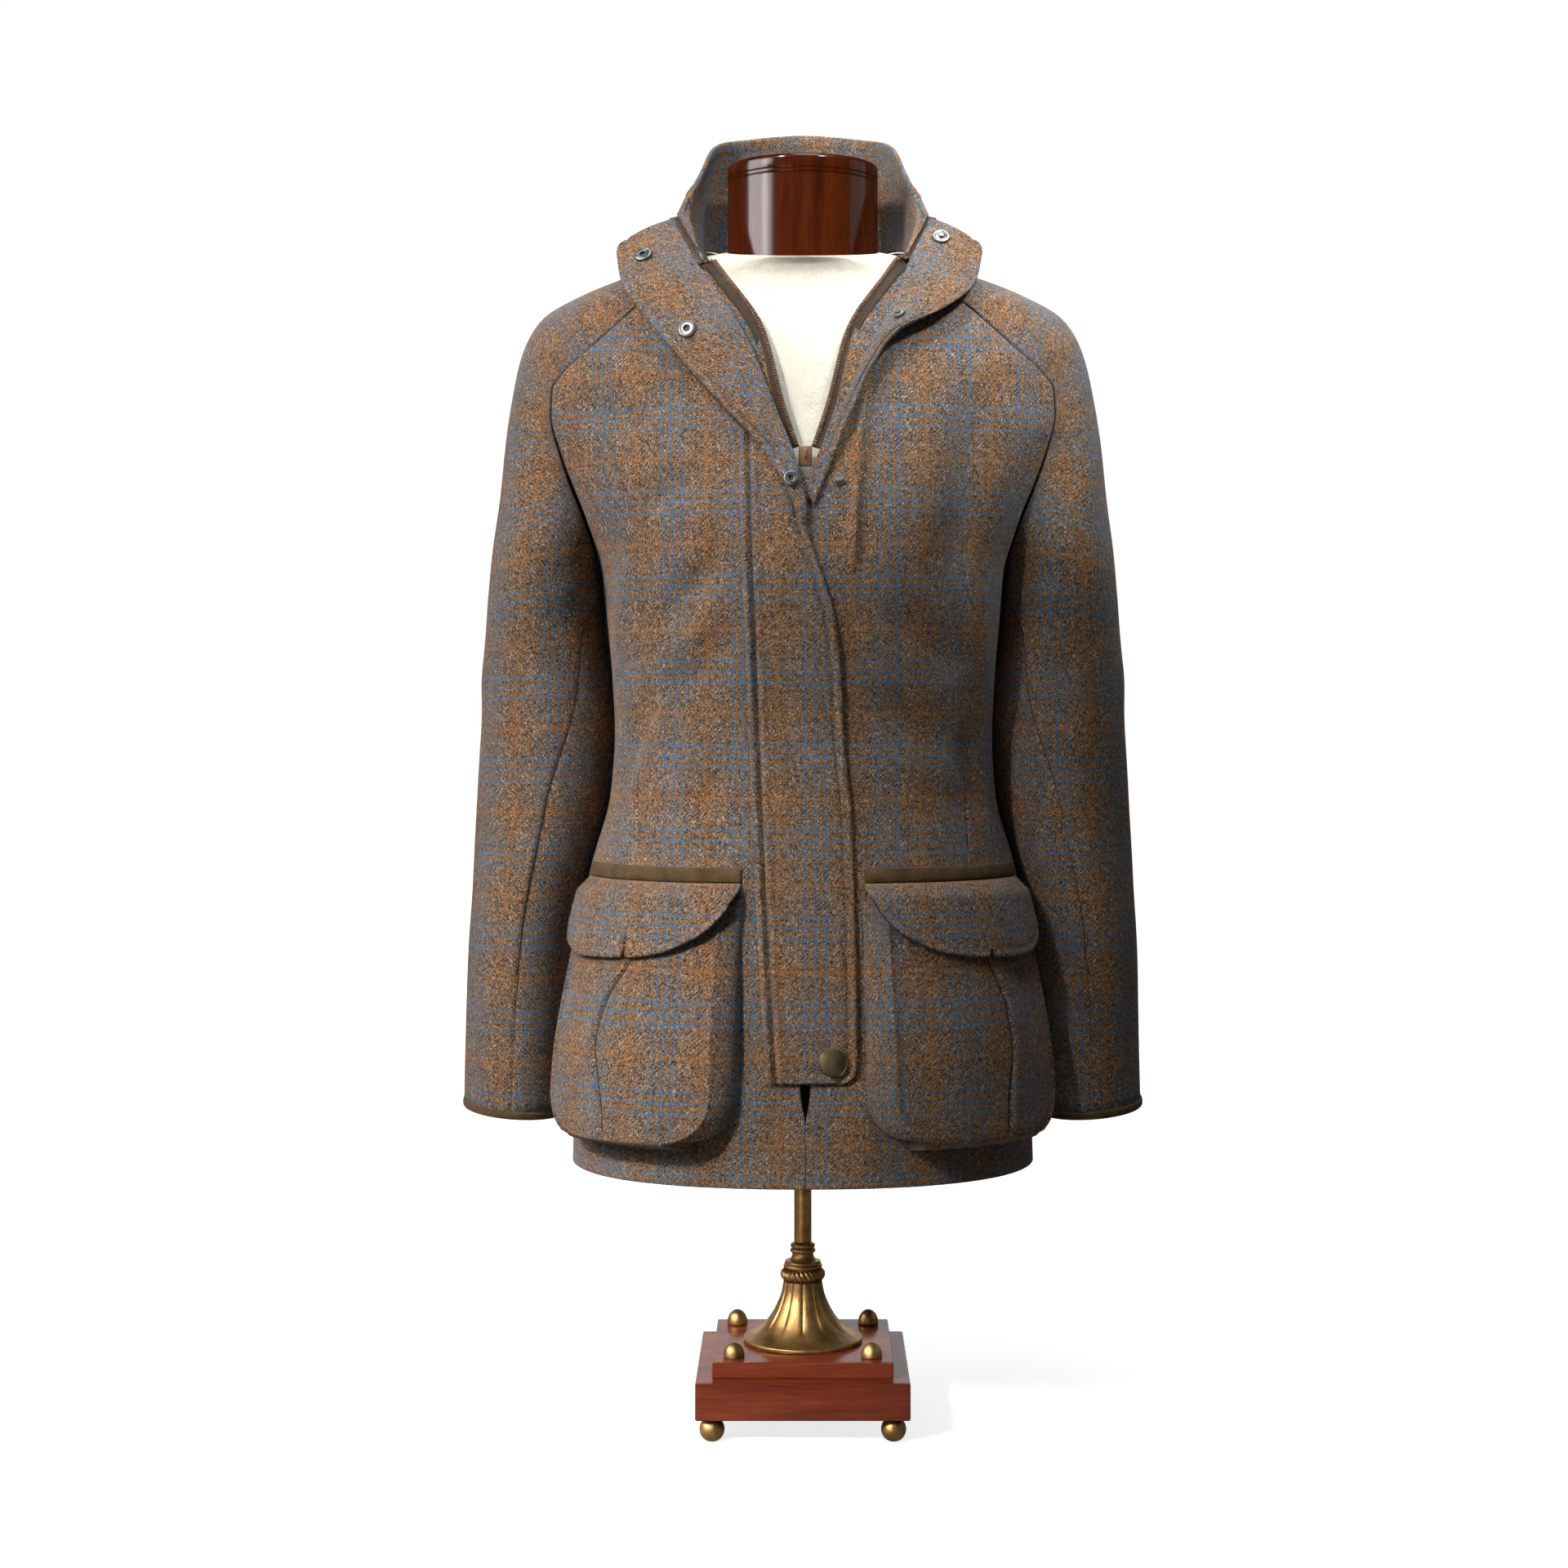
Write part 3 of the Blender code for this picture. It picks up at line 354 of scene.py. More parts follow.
stitchSizes = {
    "pitch": 3.6, "length": 2.7, "radius": 0.3, "sides": 5, "margin": 2.5, "proud": 0.16, "dive": 0.3,
    # place along half a stitch, and how full it is there
    "shape": ((-1.0, 0.25), (-0.55, 1.0), (0.55, 1.0), (1.0, 0.25)),
}
# painted shade lines: radius for seam and pleat lines, how far they sink, and sides round each
seamShadeSizes = {"seam": 0.55, "pleat": 0.9, "sunk": 0.12, "sides": 6}
seamRows = {}
seamShadeRows = []


def stitchMesh(name, rows):
    # rows of stitches, each row a list of points with the outward normals at them
    turns = circle(stitchSizes["sides"])
    points, faces = [], []
    for line, outward in rows:
        run = runAlong(line)
        places = np.arange(stitchSizes["margin"], run[-1] - stitchSizes["margin"], stitchSizes["pitch"])
        ways = unit(atPlaces(places + 0.5, run, line) - atPlaces(places - 0.5, run, line))
        ups = unit(atPlaces(places, run, outward))
        for spot, way, up in zip(atPlaces(places, run, line), ways, ups):
            over = np.cross(way, up)
            faces += tubeFaces(len(stitchSizes["shape"]), len(turns), len(points))
            for end, full in stitchSizes["shape"]:
                rise = stitchSizes["proud"] - stitchSizes["dive"] * end * end
                middle = spot + way * end * stitchSizes["length"] / 2 + up * rise
                radius = stitchSizes["radius"] * full
                points += [middle + radius * (over * math.cos(t) + up * math.sin(t)) for t in turns]
    keepPiece(addMesh(name, np.array(points), faces), "thread")


def seamShadeMesh(name, rows):
    # painted shade: dark tubes drawn into the seams, pleats and under flap edges for the shade there, one run
    # along each
    turns = circle(seamShadeSizes["sides"])
    points, faces = [], []
    for line, outward, radius in rows:
        over = unit(np.cross(unit(np.gradient(line, axis=0)), outward))
        faces += tubeFaces(len(line), len(turns), len(points))
        for spot, up, across in zip(line, outward, over):
            middle = spot - up * seamShadeSizes["sunk"]
            points += [middle + radius * (across * math.cos(t) + up * math.sin(t)) for t in turns]
    piece = addMesh(name, np.array(points), faces)
    facesOut(piece)
    keepPiece(piece, "paintedSeamShade")


def keepSeamShade(points, normals, kind):
    seamShadeRows.append((points, normals, seamShadeSizes[kind]))


def keepEdge(name, points, toward, distance, value, byColumn=False):
    # sewing where the distance from an edge has that value, one place for each row or column of the grid
    if byColumn:
        points, toward, distance = (np.swapaxes(grid, 0, 1) for grid in (points, toward, distance))
    spots, ups = [], []
    for row, up, far in zip(points, gridNormals(points, toward), distance):
        if far.min() <= value <= far.max():
            order = np.argsort(far)
            spots.append(atPlaces(value, far[order], row[order]))
            ups.append(atPlaces(value, far[order], up[order]))
    seamRows.setdefault(name, []).append((np.array(spots), np.array(ups)))


# the body's form

def oval(sizes, angle, z):
    sine, cosine = np.sin(angle), np.cos(angle)
    depth = np.where(cosine > 0, sizes("front", z), sizes("back", z))
    x = sizes("halfWidth", z) * np.sign(sine) * np.abs(sine) ** roundness
    y = -depth * np.sign(cosine) * np.abs(cosine) ** roundness
    return x, y


def bodyPoint(angle, z):
    angle, z = np.broadcast_arrays(np.asarray(angle, float), np.asarray(z, float))
    return np.stack([*oval(bodySizes, angle, z), z], axis=-1)


def bodyNormal(angle, z):
    around = bodyPoint(angle + 0.02, z) - bodyPoint(angle - 0.02, z)
    along = bodyPoint(angle, z + 1.0) - bodyPoint(angle, z - 1.0)
    return unit(np.cross(around, along))


def onBody(angle, z, out):
    return bodyPoint(angle, z) + bodyNormal(angle, z) * np.asarray(out)[..., None]


def angleAt(x, z):
    share = np.minimum(np.abs(x) / bodySizes("halfWidth", z), 1.0)
    return np.sign(x) * np.arcsin(share ** (1 / roundness))


sleeveFolds = (
    # station, angle, depth, length, width
    (3.9, -62, 3.5, 1.3, 20),
    (9.8, -75, 2.5, 0.7, 45),
    (11.1, 40, 3.0, 0.6, 55),
    (12.1, -50, 2.5, 0.5, 50),
    (10.6, -20, -1.6, 0.35, 40),
    (11.6, -85, 1.8, 0.3, 35),
    (12.7, -20, 1.4, 0.35, 45),
    (10.9, 110, 2.4, 0.5, 40),
    (12.4, 80, 1.8, 0.4, 50),
    (13.2, -70, -1.2, 0.4, 40),
    (7.2, -40, 1.6, 0.8, 25),
    (6.4, 60, 2.0, 1.0, 30),
    (11.7, 180, -5.0, 0.8, 55),
)
sectionCache = {}


def sleeveSection(station):
    key = round(float(station), 4)
    if key in sectionCache:
        return sectionCache[key]
    size = {name: float(sleeveSizes(name, station)) for name in sleeveNames.split()}
    if station <= armpitStation:
        front = bodyPoint(angleAt(size["frontX"], size["frontZ"]), size["frontZ"])
        back = bodyPoint(math.pi - angleAt(size["backX"], size["backZ"]), size["backZ"])
    else:
        front = np.array([size["frontX"], size["centreY"], size["frontZ"]])
        back = front
    middle = (front + back) / 2
    halfGap = np.linalg.norm(back - front) / 2
    toBack = (back - front) / (2 * halfGap) if halfGap > 1 else np.array([0.0, 1.0, 0.0])
    rise = np.array([size["outerX"], middle[1], size["outerZ"]]) - middle
    rise = rise - toBack * np.dot(rise, toBack)
    height = np.linalg.norm(rise)
    outward = rise / height
    halfDepth = max(size["halfDepth"], halfGap * 1.02)
    closing = math.asin(halfGap / halfDepth)
    halfWidth = height / (1 + math.cos(closing))
    limit = math.pi - closing if station <= armpitStation else math.radians(size["seamAngle"])
    centre = middle + outward * (height - halfWidth)
    sectionCache[key] = (centre, outward * halfWidth, toBack * halfDepth, limit)
    return sectionCache[key]


def sleeveRow(station, angles):
    centre, outward, backward, _ = sleeveSection(station)
    arm = outward * np.cos(angles)[:, None] + backward * np.sin(angles)[:, None]
    depth = np.zeros_like(angles)
    for atStation, atAngle, deep, length, width in sleeveFolds:
        along = (station - atStation) / length
        turn = np.angle(np.exp(1j * (angles - math.radians(atAngle))))
        depth += deep * np.exp(-along * along - (np.degrees(turn) / width) ** 2)
    size = np.linalg.norm(arm, axis=1, keepdims=True)
    return centre + arm * (1 - depth[:, None] / size)


# tweed panels of the body

frontPanel = {
    "counts": (56, 34),
    "dart": {
        "x": 131.0, "low": 462.0, "high": 534.0, "depth": 2.4, "width": 1.3,
        "straightTo": 520.0, "fade": (18, 30),
    },
    "dip": 1.3,
    "calm": (26, 40),      # no waves this near the closing, and how far they take to grow
    "ripple": 0.9,
    "seed": {"right": 1.0, "left": 2.6},
    "shutBelow": 252.0,
    "fold": 2.1,
    # girth from the middle, height, to girth, height, depth, width
    "right": (
        (62, 700, 122, 640, -3.2, 13),
        (58, 640, 108, 585, -2.4, 12),
        (70, 770, 132, 735, -2.0, 12),
        (120, 600, 165, 520, -2.2, 12),
        (84, 560, 96, 480, 1.6, 13),
        (60, 520, 118, 490, -1.6, 10),
        (150, 700, 176, 600, 2.2, 16),
        (66, 840, 128, 815, -1.6, 13),
        (128, 800, 190, 820, -2.6, 16),
        (40, 300, 46, 240, 1.8, 14),
        (104, 470, 150, 480, -1.2, 9),
    ),
    "left": (
        (49, 830, 43, 772, 2.6, 3.0),
        (43, 772, 38, 690, 2.6, 3.0),
        (58, 830, 50, 690, -1.2, 5.0),
        (96, 846, 92, 700, 2.8, 20),
        (140, 830, 128, 690, -2.8, 18),
        (70, 660, 126, 612, -2.4, 12),
        (60, 590, 118, 545, -2.2, 12),
        (136, 560, 160, 500, -2.0, 12),
        (96, 520, 140, 498, -1.4, 9),
        (150, 690, 172, 590, 2.0, 16),
        (42, 300, 48, 240, 1.6, 14),
    ),
}
backPanel = {
    "counts": (34, 34),
    "ripple": 1.0,
    "seed": 4.1,
    "creases": (
        (-90, 820, -40, 640, -3.0, 20),
        (92, 826, 44, 650, -2.6, 20),
        (-120, 610, -60, 560, -2.4, 12),
        (110, 600, 56, 566, -2.2, 12),
        (-60, 540, 66, 534, -2.0, 10),
        (-30, 640, 36, 622, 1.6, 12),
        (-110, 400, -96, 240, 2.4, 20),
        (86, 410, 104, 236, 2.6, 20),
        (4, 380, -8, 240, -2.0, 16),
    ),
}
lowerRows = np.concatenate([[214, 215.2, 217, 220], np.arange(226, 686, 7.0), [688.5]])
raglanStations = np.concatenate([np.linspace(9, 7, 15), np.linspace(6.86, 1, 42), np.linspace(0.9, 0, 8)])


def bodyRow(z, low, high, mark, counts):
    # one level row: angles spaced by length, the places along it, its length, and its start from the middle
    fine = np.linspace(low, high, 200)
    run = runAlong(bodyPoint(fine, z))
    places = spread(run[-1], [float(np.interp(mark, fine, run))], counts)
    lead = runAlong(bodyPoint(np.linspace(0, low, 80), z))[-1]
    return np.interp(places, run, fine), places, run[-1], lead


def seamDip(places, length, start=True, depth=1.5, width=1.7):
    # a panel sinks at its seams
    dip = hump(length, places, width)
    if start:
        dip = dip + hump(places, 0, width)
    return -depth * dip


def makeFront(side):
    dart = frontPanel["dart"]
    centre = closingX if side == "left" else -closingX
    levels = [(z, math.pi / 2) for z in lowerRows]
    for station in raglanStations:
        z = float(sleeveSizes("frontZ", station))
        levels.append((z, float(angleAt(sleeveSizes("frontX", station), z))))
    points, uv, lift = [], [], []
    for z, high in levels:
        low = float(angleAt(centre + frontOpening("opening", z), z))
        dartAngle = float(angleAt(dart["x"], min(z, dart["straightTo"])))
        mark = low + (high - low) * np.clip((dartAngle - low) / (math.pi / 2 - low), 0.3, 0.85)
        angles, places, length, lead = bodyRow(z, low, high, mark, frontPanel["counts"])
        fadeLow, fadeHigh = dart["fade"]
        inDart = np.clip((z - dart["low"]) / fadeLow, 0, 1) * np.clip((dart["high"] - z) / fadeHigh, 0, 1)
        inDart = inDart * hump(places, float(np.interp(mark, angles, places)), dart["width"])
        points.append(bodyPoint(angles, z))
        uv.append(flatRow(lead + places if low >= 0 else places - lead, z))
        lift.append(seamDip(places, length, start=False, depth=frontPanel["dip"]) - dart["depth"] * inDart)
    points, uv, lift = sided(side, np.array(points)), np.array(uv), np.array(lift)
    girth, height = uv[..., 0], uv[..., 1]
    calmTo, grow = frontPanel["calm"]
    lift += frontPanel["fold"] * creases(girth, height, frontPanel[side])
    wave = ripple(girth, height, frontPanel["ripple"], frontPanel["seed"][side])
    lift += np.clip((girth - calmTo) / grow, 0, 1) * wave
    toward = fromMiddle(points)
    points = raised(points, toward, lift)
    normals = gridNormals(points, toward)
    # painted shade: dark lines along the raglan and side seam, the closing below the shut and the dart
    keepSeamShade(points[:, -1], normals[:, -1], "seam")
    if side == "left":
        shut = height[:, 0] < frontPanel["shutBelow"]
        keepSeamShade(points[shut, 0], normals[shut, 0], "seam")
    inDart = (height[:, 0] > dart["low"] + 8) & (height[:, 0] < dart["high"] - 6)
    column = markColumn(frontPanel["counts"])
    keepSeamShade(points[inDart, column], normals[inDart, column], "seam")
    piece = clothWall("front" + side.capitalize(), points, sidedUv(side, uv), thickness["panel"], toward)
    keepCloth(piece, "tweed", "front_" + side)


def makeBack():
    levels = [(z, math.pi / 2) for z in lowerRows]
    for station in raglanStations:
        z = float(sleeveSizes("backZ", station))
        levels.append((z, math.pi - float(angleAt(sleeveSizes("backX", station), z))))
    points, uv, lift = [], [], []
    for z, edge in levels:
        angles, places, length, _ = bodyRow(z, edge, 2 * math.pi - edge, math.pi, backPanel["counts"])
        points.append(bodyPoint(angles, z))
        uv.append(flatRow(places - length / 2, z))
        lift.append(seamDip(places, length))
    points, uv, lift = np.array(points), np.array(uv), np.array(lift)
    lift += creases(uv[..., 0], uv[..., 1], backPanel["creases"])
    lift += ripple(uv[..., 0], uv[..., 1], backPanel["ripple"], backPanel["seed"])
    toward = fromMiddle(points)
    points = raised(points, toward, lift)
    normals = gridNormals(points, toward)
    # painted shade: dark lines along both raglan seams
    for column in (0, -1):
        keepSeamShade(points[len(lowerRows):, column], normals[len(lowerRows):, column], "seam")
    piece = clothWall("backPanel", points, uv, thickness["panel"], toward)
    keepCloth(piece, "tweed", "back")


for side in ("right", "left"):
    makeFront(side)
makeBack()
print("body panels made")


# raglan sleeves

sleevePanel = {
    "rowStep": 6.5, "columns": {"upper": 46, "under": 22}, "dip": 1.1,
    "ripple": 0.8, "seed": {"right": 3.3, "left": 5.2},
    "ease": 0.85, "easeReach": 52.0, "easeShare": 0.42,
    # stations: full from the first, gone at the second, fading over the third before it
    "easeFade": (0.8, 8.7, 2.4),
    "flat": {"upper": (0.40, 0.80), "under": (0.21, 0.44)}, "area": {"upper": 0.172, "under": 0.065},
}
cuffBand = {
    "height": 7.0, "sides": 96,
    # share down the band, and how far it swells there
    "shape": ((0, -0.4), (0.1, 0.5), (0.35, 0.9), (0.65, 0.9), (0.9, 0.5), (1.0, -0.3)),
}


def ridgeRun(low, high, steps):
    # stations, and the length along the top of the sleeve to each
    fine = np.linspace(low, high, steps)
    return fine, runAlong(np.stack([sleeveSizes("outerX", fine), sleeveSizes("outerZ", fine)], axis=-1))


def sleeveStations(low, high):
    # stations about one row step apart along the sleeve
    fine, run = ridgeRun(low, high, 400)
    return np.interp(np.linspace(0, run[-1], int(run[-1] / sleevePanel["rowStep"])), run, fine)


def easedHead(station, points, places, length):
    # draws the cloth beside a raglan seam into the plane of the body there
    grow, end, fade = sleevePanel["easeFade"]
    ease = sleevePanel["ease"] * np.clip((end - station) / fade, 0, 1) * np.clip(station / grow, 0, 1)
    if ease == 0:
        return points
    frontZ, backZ = float(sleeveSizes("frontZ", station)), float(sleeveSizes("backZ", station))
    frontNormal = bodyNormal(float(angleAt(sleeveSizes("frontX", station), frontZ)), frontZ)
    backNormal = bodyNormal(math.pi - float(angleAt(sleeveSizes("backX", station), backZ)), backZ)
    reach = min(sleevePanel["easeReach"], sleevePanel["easeShare"] * length)
    for seam, away, normal in ((points[0], places, frontNormal), (points[-1], length - places, backNormal)):
        near = np.clip(1 - away / reach, 0, 1)
        near = near * near * (3 - 2 * near)
        height = np.maximum((points - seam) @ normal, 0)
        points = points - normal * (ease * near * height)[:, None]
    return points


def makeSleeve(side, part):
    stations = sleeveStations(underStation, cuffStation)
    if part == "upper":
        stations = np.concatenate([sleeveStations(0, armpitStation), stations])
    along = np.interp(stations, *ridgeRun(0, cuffStation, 600))
    points, uv, lift = [], [], []
    for station, down in zip(stations, along):
        limit = sleeveSection(station)[3]
        low, high = (-limit, limit) if part == "upper" else (limit, 2 * math.pi - limit)
        fine = np.linspace(low, high, 160)
        run = runAlong(sleeveRow(station, fine))
        length = run[-1]
        places = spread(length, [], (sleevePanel["columns"][part],))
        row = sleeveRow(station, np.interp(places, run, fine))
        middle = np.interp(0, fine, run) if part == "upper" else length / 2
        points.append(easedHead(station, row, places, length) if part == "upper" else row)
        uv.append(flatRow(places - middle, -down))
        lift.append(seamDip(places, length, depth=sleevePanel["dip"]))
    points, uv, lift = np.array(points), np.array(uv), np.array(lift)
    lift += ripple(uv[..., 0], uv[..., 1], sleevePanel["ripple"], sleevePanel["seed"][side])
    toward = points - np.array([sleeveSection(s)[0] for s in stations])[:, None]
    points, toward = sided(side, raised(points, toward, lift)), sided(side, toward)
    if part == "upper":
        # painted shade: dark lines along both seams below the armpit
        below = stations > armpitStation
        normals = gridNormals(points, toward)
        for column in (0, -1):
            keepSeamShade(points[below, column], normals[below, column], "seam")
    name = "sleeve" + part.capitalize() + side.capitalize()
    piece = clothWall(name, points, uv, thickness["panel"], toward)
    keepCloth(piece, "tweed", f"sleeve_{part}_{side}")


def makeCuffBinding(side):
    cuff = sleeveRow(cuffStation, circle(cuffBand["sides"]))
    centre, outward, backward, _ = sleeveSection(cuffStation)
    down = unit(np.cross(outward, backward))
    down = (down if down[2] < 0 else -down) * cuffBand["height"]
    out = unit(cuff - centre)
    points = np.array([cuff + down * share + out * swell for share, swell in cuffBand["shape"]])
    uv = np.array([flatRow(runAlong(cuff), cuffBand["height"] * share) for share, _ in cuffBand["shape"]])
    toward = sided(side, np.broadcast_to(out, points.shape))
    name = side.capitalize()
    piece = clothWall("cuffBinding" + name, sided(side, points), uv, thickness["panel"], toward, True)
    keepCloth(piece, "binding", "cuff_binding_" + side)


for side in ("right", "left"):
    makeSleeve(side, "upper")
    makeSleeve(side, "under")
    makeCuffBinding(side)
print("sleeves made")


# collar, lapels and storm flap

collarTop = sizeTable(
    "share x y z",
    (0, 101, -32, 978),
    (0.28, 86, 0, 1017),
    (0.55, 73, 38, 1049),
    (0.75, 46, 61, 1058),
    (1, 0, 75, 1064),
    (1.25, -46, 61, 1058),
)
collarPanel = {
    "bulge": 3.0, "lift": 0.8, "stitch": 6.5, "ripple": 0.7, "seed": 6.4,
    "shares": np.concatenate([
        [0, 0.015, 0.04], np.linspace(0.08, 0.84, 22), [0.88, 0.905, 0.92, 0.94, 0.97, 1],
    ]),
    "topShape": ((-0.8, 6.5, 1.6),),
    "seamShape": ((-1.2, 0.0, 1.8),),
}


def neckLine(centre):
    line = []
    for station in np.linspace(0.62, 0, 7):
        z = float(sleeveSizes("frontZ", station))
        line.append(bodyPoint(angleAt(centre + frontOpening("opening", z), z), z))
    limit = sleeveSection(0)[3]
    line += list(sleeveRow(0, np.linspace(-limit, limit, 26)))[1:]
    backX, backZ = float(sleeveSizes("backX", 0)), float(sleeveSizes("backZ", 0))
    for x in np.linspace(backX, 0, 10)[1:]:
        line.append(bodyPoint(math.pi - angleAt(x, backZ), backZ))
    return np.array(line)


def collarHalf(centre, shares):
    base = neckLine(centre) + np.array([0, 0, collarPanel["lift"]])
    run = runAlong(base)
    bulge = collarPanel["bulge"] * np.sin(math.pi * shares)
    columns = []
    for point, share in zip(base, run / run[-1]):
        top = np.array([float(collarTop(name, share)) for name in "xyz"])
        out = unit(fromMiddle(top + point))
        columns.append(point + (top - point) * shares[:, None] + out * bulge[:, None])
    return np.array(columns).transpose(1, 0, 2)


def collarSheet(centre, shares):
    near = collarHalf(centre, shares)
    far = mirrored(collarHalf(-centre, shares))
    return np.concatenate([near, far[:, -2::-1]], axis=1)


def makeCollar():
    shares = collarPanel["shares"]
    points = collarSheet(closingX, shares)
    toward = fromMiddle(points)
    run = runAlong(points[0])
    height = np.linalg.norm(points[-1] - points[0], axis=1)
    uv = flatRow(run - run[-1] / 2, shares[:, None] * height)
    fromTop = (1 - shares[:, None]) * height
    lift = humps(fromTop, collarPanel["topShape"]) + humps(uv[..., 1], collarPanel["seamShape"])
    lift = lift + ripple(uv[..., 0], uv[..., 1], collarPanel["ripple"], collarPanel["seed"])
    points = raised(points, toward, lift)
    keepEdge("collar", points, toward, fromTop, collarPanel["stitch"], byColumn=True)
    piece = clothWall("standCollar", points, uv, thickness["collar"], toward)
    keepCloth(piece, "tweed", "collar")


lapelNames = "share rollX rollY rollZ edgeX edgeY edgeZ"
lapelSizes = {
    "right": sizeTable(
        lapelNames,
        (0, 105, -38, 974, 150, -46, 951),
        (0.2, 85, -70, 935, 144, -75, 919),
        (0.4, 62, -92, 901, 124, -92, 889),
        (0.6, 42, -107, 866, 97, -106, 855),
        (0.8, 21, -121, 813, 60, -120, 813),
        (0.9, 8, -131, 781, 32, -129, 782),
        (0.95, 1.5, -137.4, 757, 16, -136.4, 757),
        (1, -4, -140, 727, 0, -140, 722),
    ),
    "left": sizeTable(
        lapelNames,
        (0, 103, -39, 975, 145, -47, 951),
        (0.2, 83, -71, 932, 137, -70, 919),
        (0.4, 67, -90, 893, 108, -98, 893),
        (0.55, 53, -104, 868, 76, -108, 877),
        (0.7, 39, -113, 838, 55, -115, 849),
        (0.85, 25, -122, 803, 36, -123, 806),
        (1, 4, -133.3, 744, 9, -133.4, 738),
    ),
}
lapelPanel = {
    "bow": 4.0, "corner": 0.03, "cornerIn": 0.08, "stitch": 6.0,
    "ripple": 0.8, "seed": {"right": 1.4, "left": 7.7},
    "shares": np.concatenate([np.linspace(0, 0.08, 9), np.linspace(0.095, 1, 80)]),
    "across": np.concatenate([np.linspace(0, 0.84, 40), [0.875, 0.9, 0.92, 0.945, 0.975, 1.0]]),
    "stitchShape": ((-1.4, 6.0, 1.6),),
    "rimShape": ((1.2, 2.0, 2.2),),
    "flat": {"right": (0.072, 0.31), "left": (0.060, 0.29)},
    "area": {"right": 0.0138, "left": 0.0083},
}


def lapelPoint(side, share, across):
    table = lapelSizes[side]
    roll = np.stack([table("roll" + name, share) for name in "XYZ"], axis=-1)
    edge = np.stack([table("edge" + name, share) for name in "XYZ"], axis=-1)
    reach = np.linalg.norm(edge - roll, axis=-1)
    bow = lapelPanel["bow"] * np.sin(math.pi * across) * np.minimum(1.0, reach / 40)
    bowed = np.stack([np.zeros_like(bow), -bow, bow * 0.4], axis=-1)
    return roll + (edge - roll) * np.asarray(across)[..., None] + bowed


def makeLapel(side):
    share, across = np.meshgrid(lapelPanel["shares"], lapelPanel["across"], indexing="ij")
    inCorner = np.clip(1 - share / lapelPanel["corner"], 0, 1)
    rounded = across * (1 - lapelPanel["cornerIn"] * (1 - np.sqrt(np.maximum(1 - inCorner ** 2, 0))))
    points = lapelPoint(side, share, rounded)
    toward = np.broadcast_to(np.array([0.0, -1.0, 0.35]), points.shape)
    width = np.linalg.norm(points[:, -1] - points[:, 0], axis=1)[:, None]
    uv = flatRow(rounded * width, -runAlong(points[:, 0])[:, None])
    fromEdge = width * (1 - across)
    fromTop = np.linalg.norm(points - points[:1], axis=-1)
    lift = humps(fromEdge, lapelPanel["stitchShape"]) + humps(fromTop, lapelPanel["stitchShape"])
    lift = lift + humps(np.minimum(fromEdge, fromTop), lapelPanel["rimShape"])
    lift = lift + ripple(uv[..., 0], uv[..., 1], lapelPanel["ripple"], lapelPanel["seed"][side])
    points, toward = sided(side, raised(points, toward, lift)), sided(side, toward)
    stitch, inner = lapelPanel["stitch"], slice(3, -3)
    keepEdge("lapels", points, toward, fromEdge, stitch)
    keepEdge("lapels", points[:, inner], toward[:, inner], fromTop[:, inner], stitch, byColumn=True)
    name = side.capitalize()
    piece = clothWall("lapel" + name, points, uv, thickness["lapel"], toward)
    keepCloth(piece, "tweed", "lapel_" + side)


stormFlap = sizeTable(
    "z seamX freeX",
    (294, -28, 33),
    (302, -28.5, 41),
    (324, -30, 41),
    (497, -39, 37),
    (549, -41, 32),
    (607, -43, 29),
    (651, -44.5, 24),
    (685, -46, 14),
    (718, -47, 3),
    (744, -48, -1),
    (780, -49, -9),
    (796, -49.5, -16),
)
stormPanel = {
    "gap": 1.3, "low": 294.0, "seamBand": 18.0, "counts": (16, 34), "stitch": 6.5, "ripple": 0.6, "seed": 8.8,
    "rows": np.concatenate([
        [294, 295, 296.5, 298.5, 300.5, 302.5, 305, 309], np.arange(315, 792, 7.0), [796],
    ]),
    "freeShape": ((-1.5, 6.5, 1.6), (0.9, 2.4, 2.2)),
    "lowShape": ((-0.9, 6.5, 1.8),),
    # two ridges with a groove between them along the seam
    "seamShape": ((2.4, 3.6, 2.2), (-2.2, 0.0, 1.3), (1.2, 12.4, 2.2), (-1.7, 8.2, 1.6)),
    "seamStitches": (1.8, 8.2),
}


def makeStormFlap():
    points, uv, fromFree = [], [], []
    for z in stormPanel["rows"]:
        seamX, freeX = float(stormFlap("seamX", z)), float(stormFlap("freeX", z))
        seam, band, edge = (float(angleAt(x, z)) for x in (seamX, seamX + stormPanel["seamBand"], freeX))
        angles, places, length, lead = bodyRow(z, seam, edge, band, stormPanel["counts"])
        out = stormPanel["gap"] + thickness["flap"] + humps(places, stormPanel["seamShape"])
        out = out + humps(length - places, stormPanel["freeShape"])
        out = out + humps(z - stormPanel["low"], stormPanel["lowShape"])
        points.append(onBody(angles, z, out))
        uv.append(flatRow(places - lead, z))
        fromFree.append(length - places)
    points, uv, fromFree = np.array(points), np.array(uv), np.array(fromFree)
    toward = fromMiddle(points)
    waves = ripple(uv[..., 0], uv[..., 1], stormPanel["ripple"], stormPanel["seed"])
    points = raised(points, toward, np.abs(waves))
    keepEdge("stormFlap", points, toward, fromFree, stormPanel["stitch"])
    for line in stormPanel["seamStitches"]:
        keepEdge("stormFlap", points, toward, fromFree[:, :1] - fromFree, line)
    keepEdge("stormFlap", points, toward, uv[..., 1] - stormPanel["low"], stormPanel["stitch"], byColumn=True)
    piece = clothWall("stormFlap", points, uv, thickness["flap"], toward)
    keepCloth(piece, "tweed", "storm_flap")


makeCollar()
for side in ("right", "left"):
    makeLapel(side)
makeStormFlap()
print("collar, lapels and storm flap made")


# bellows pockets

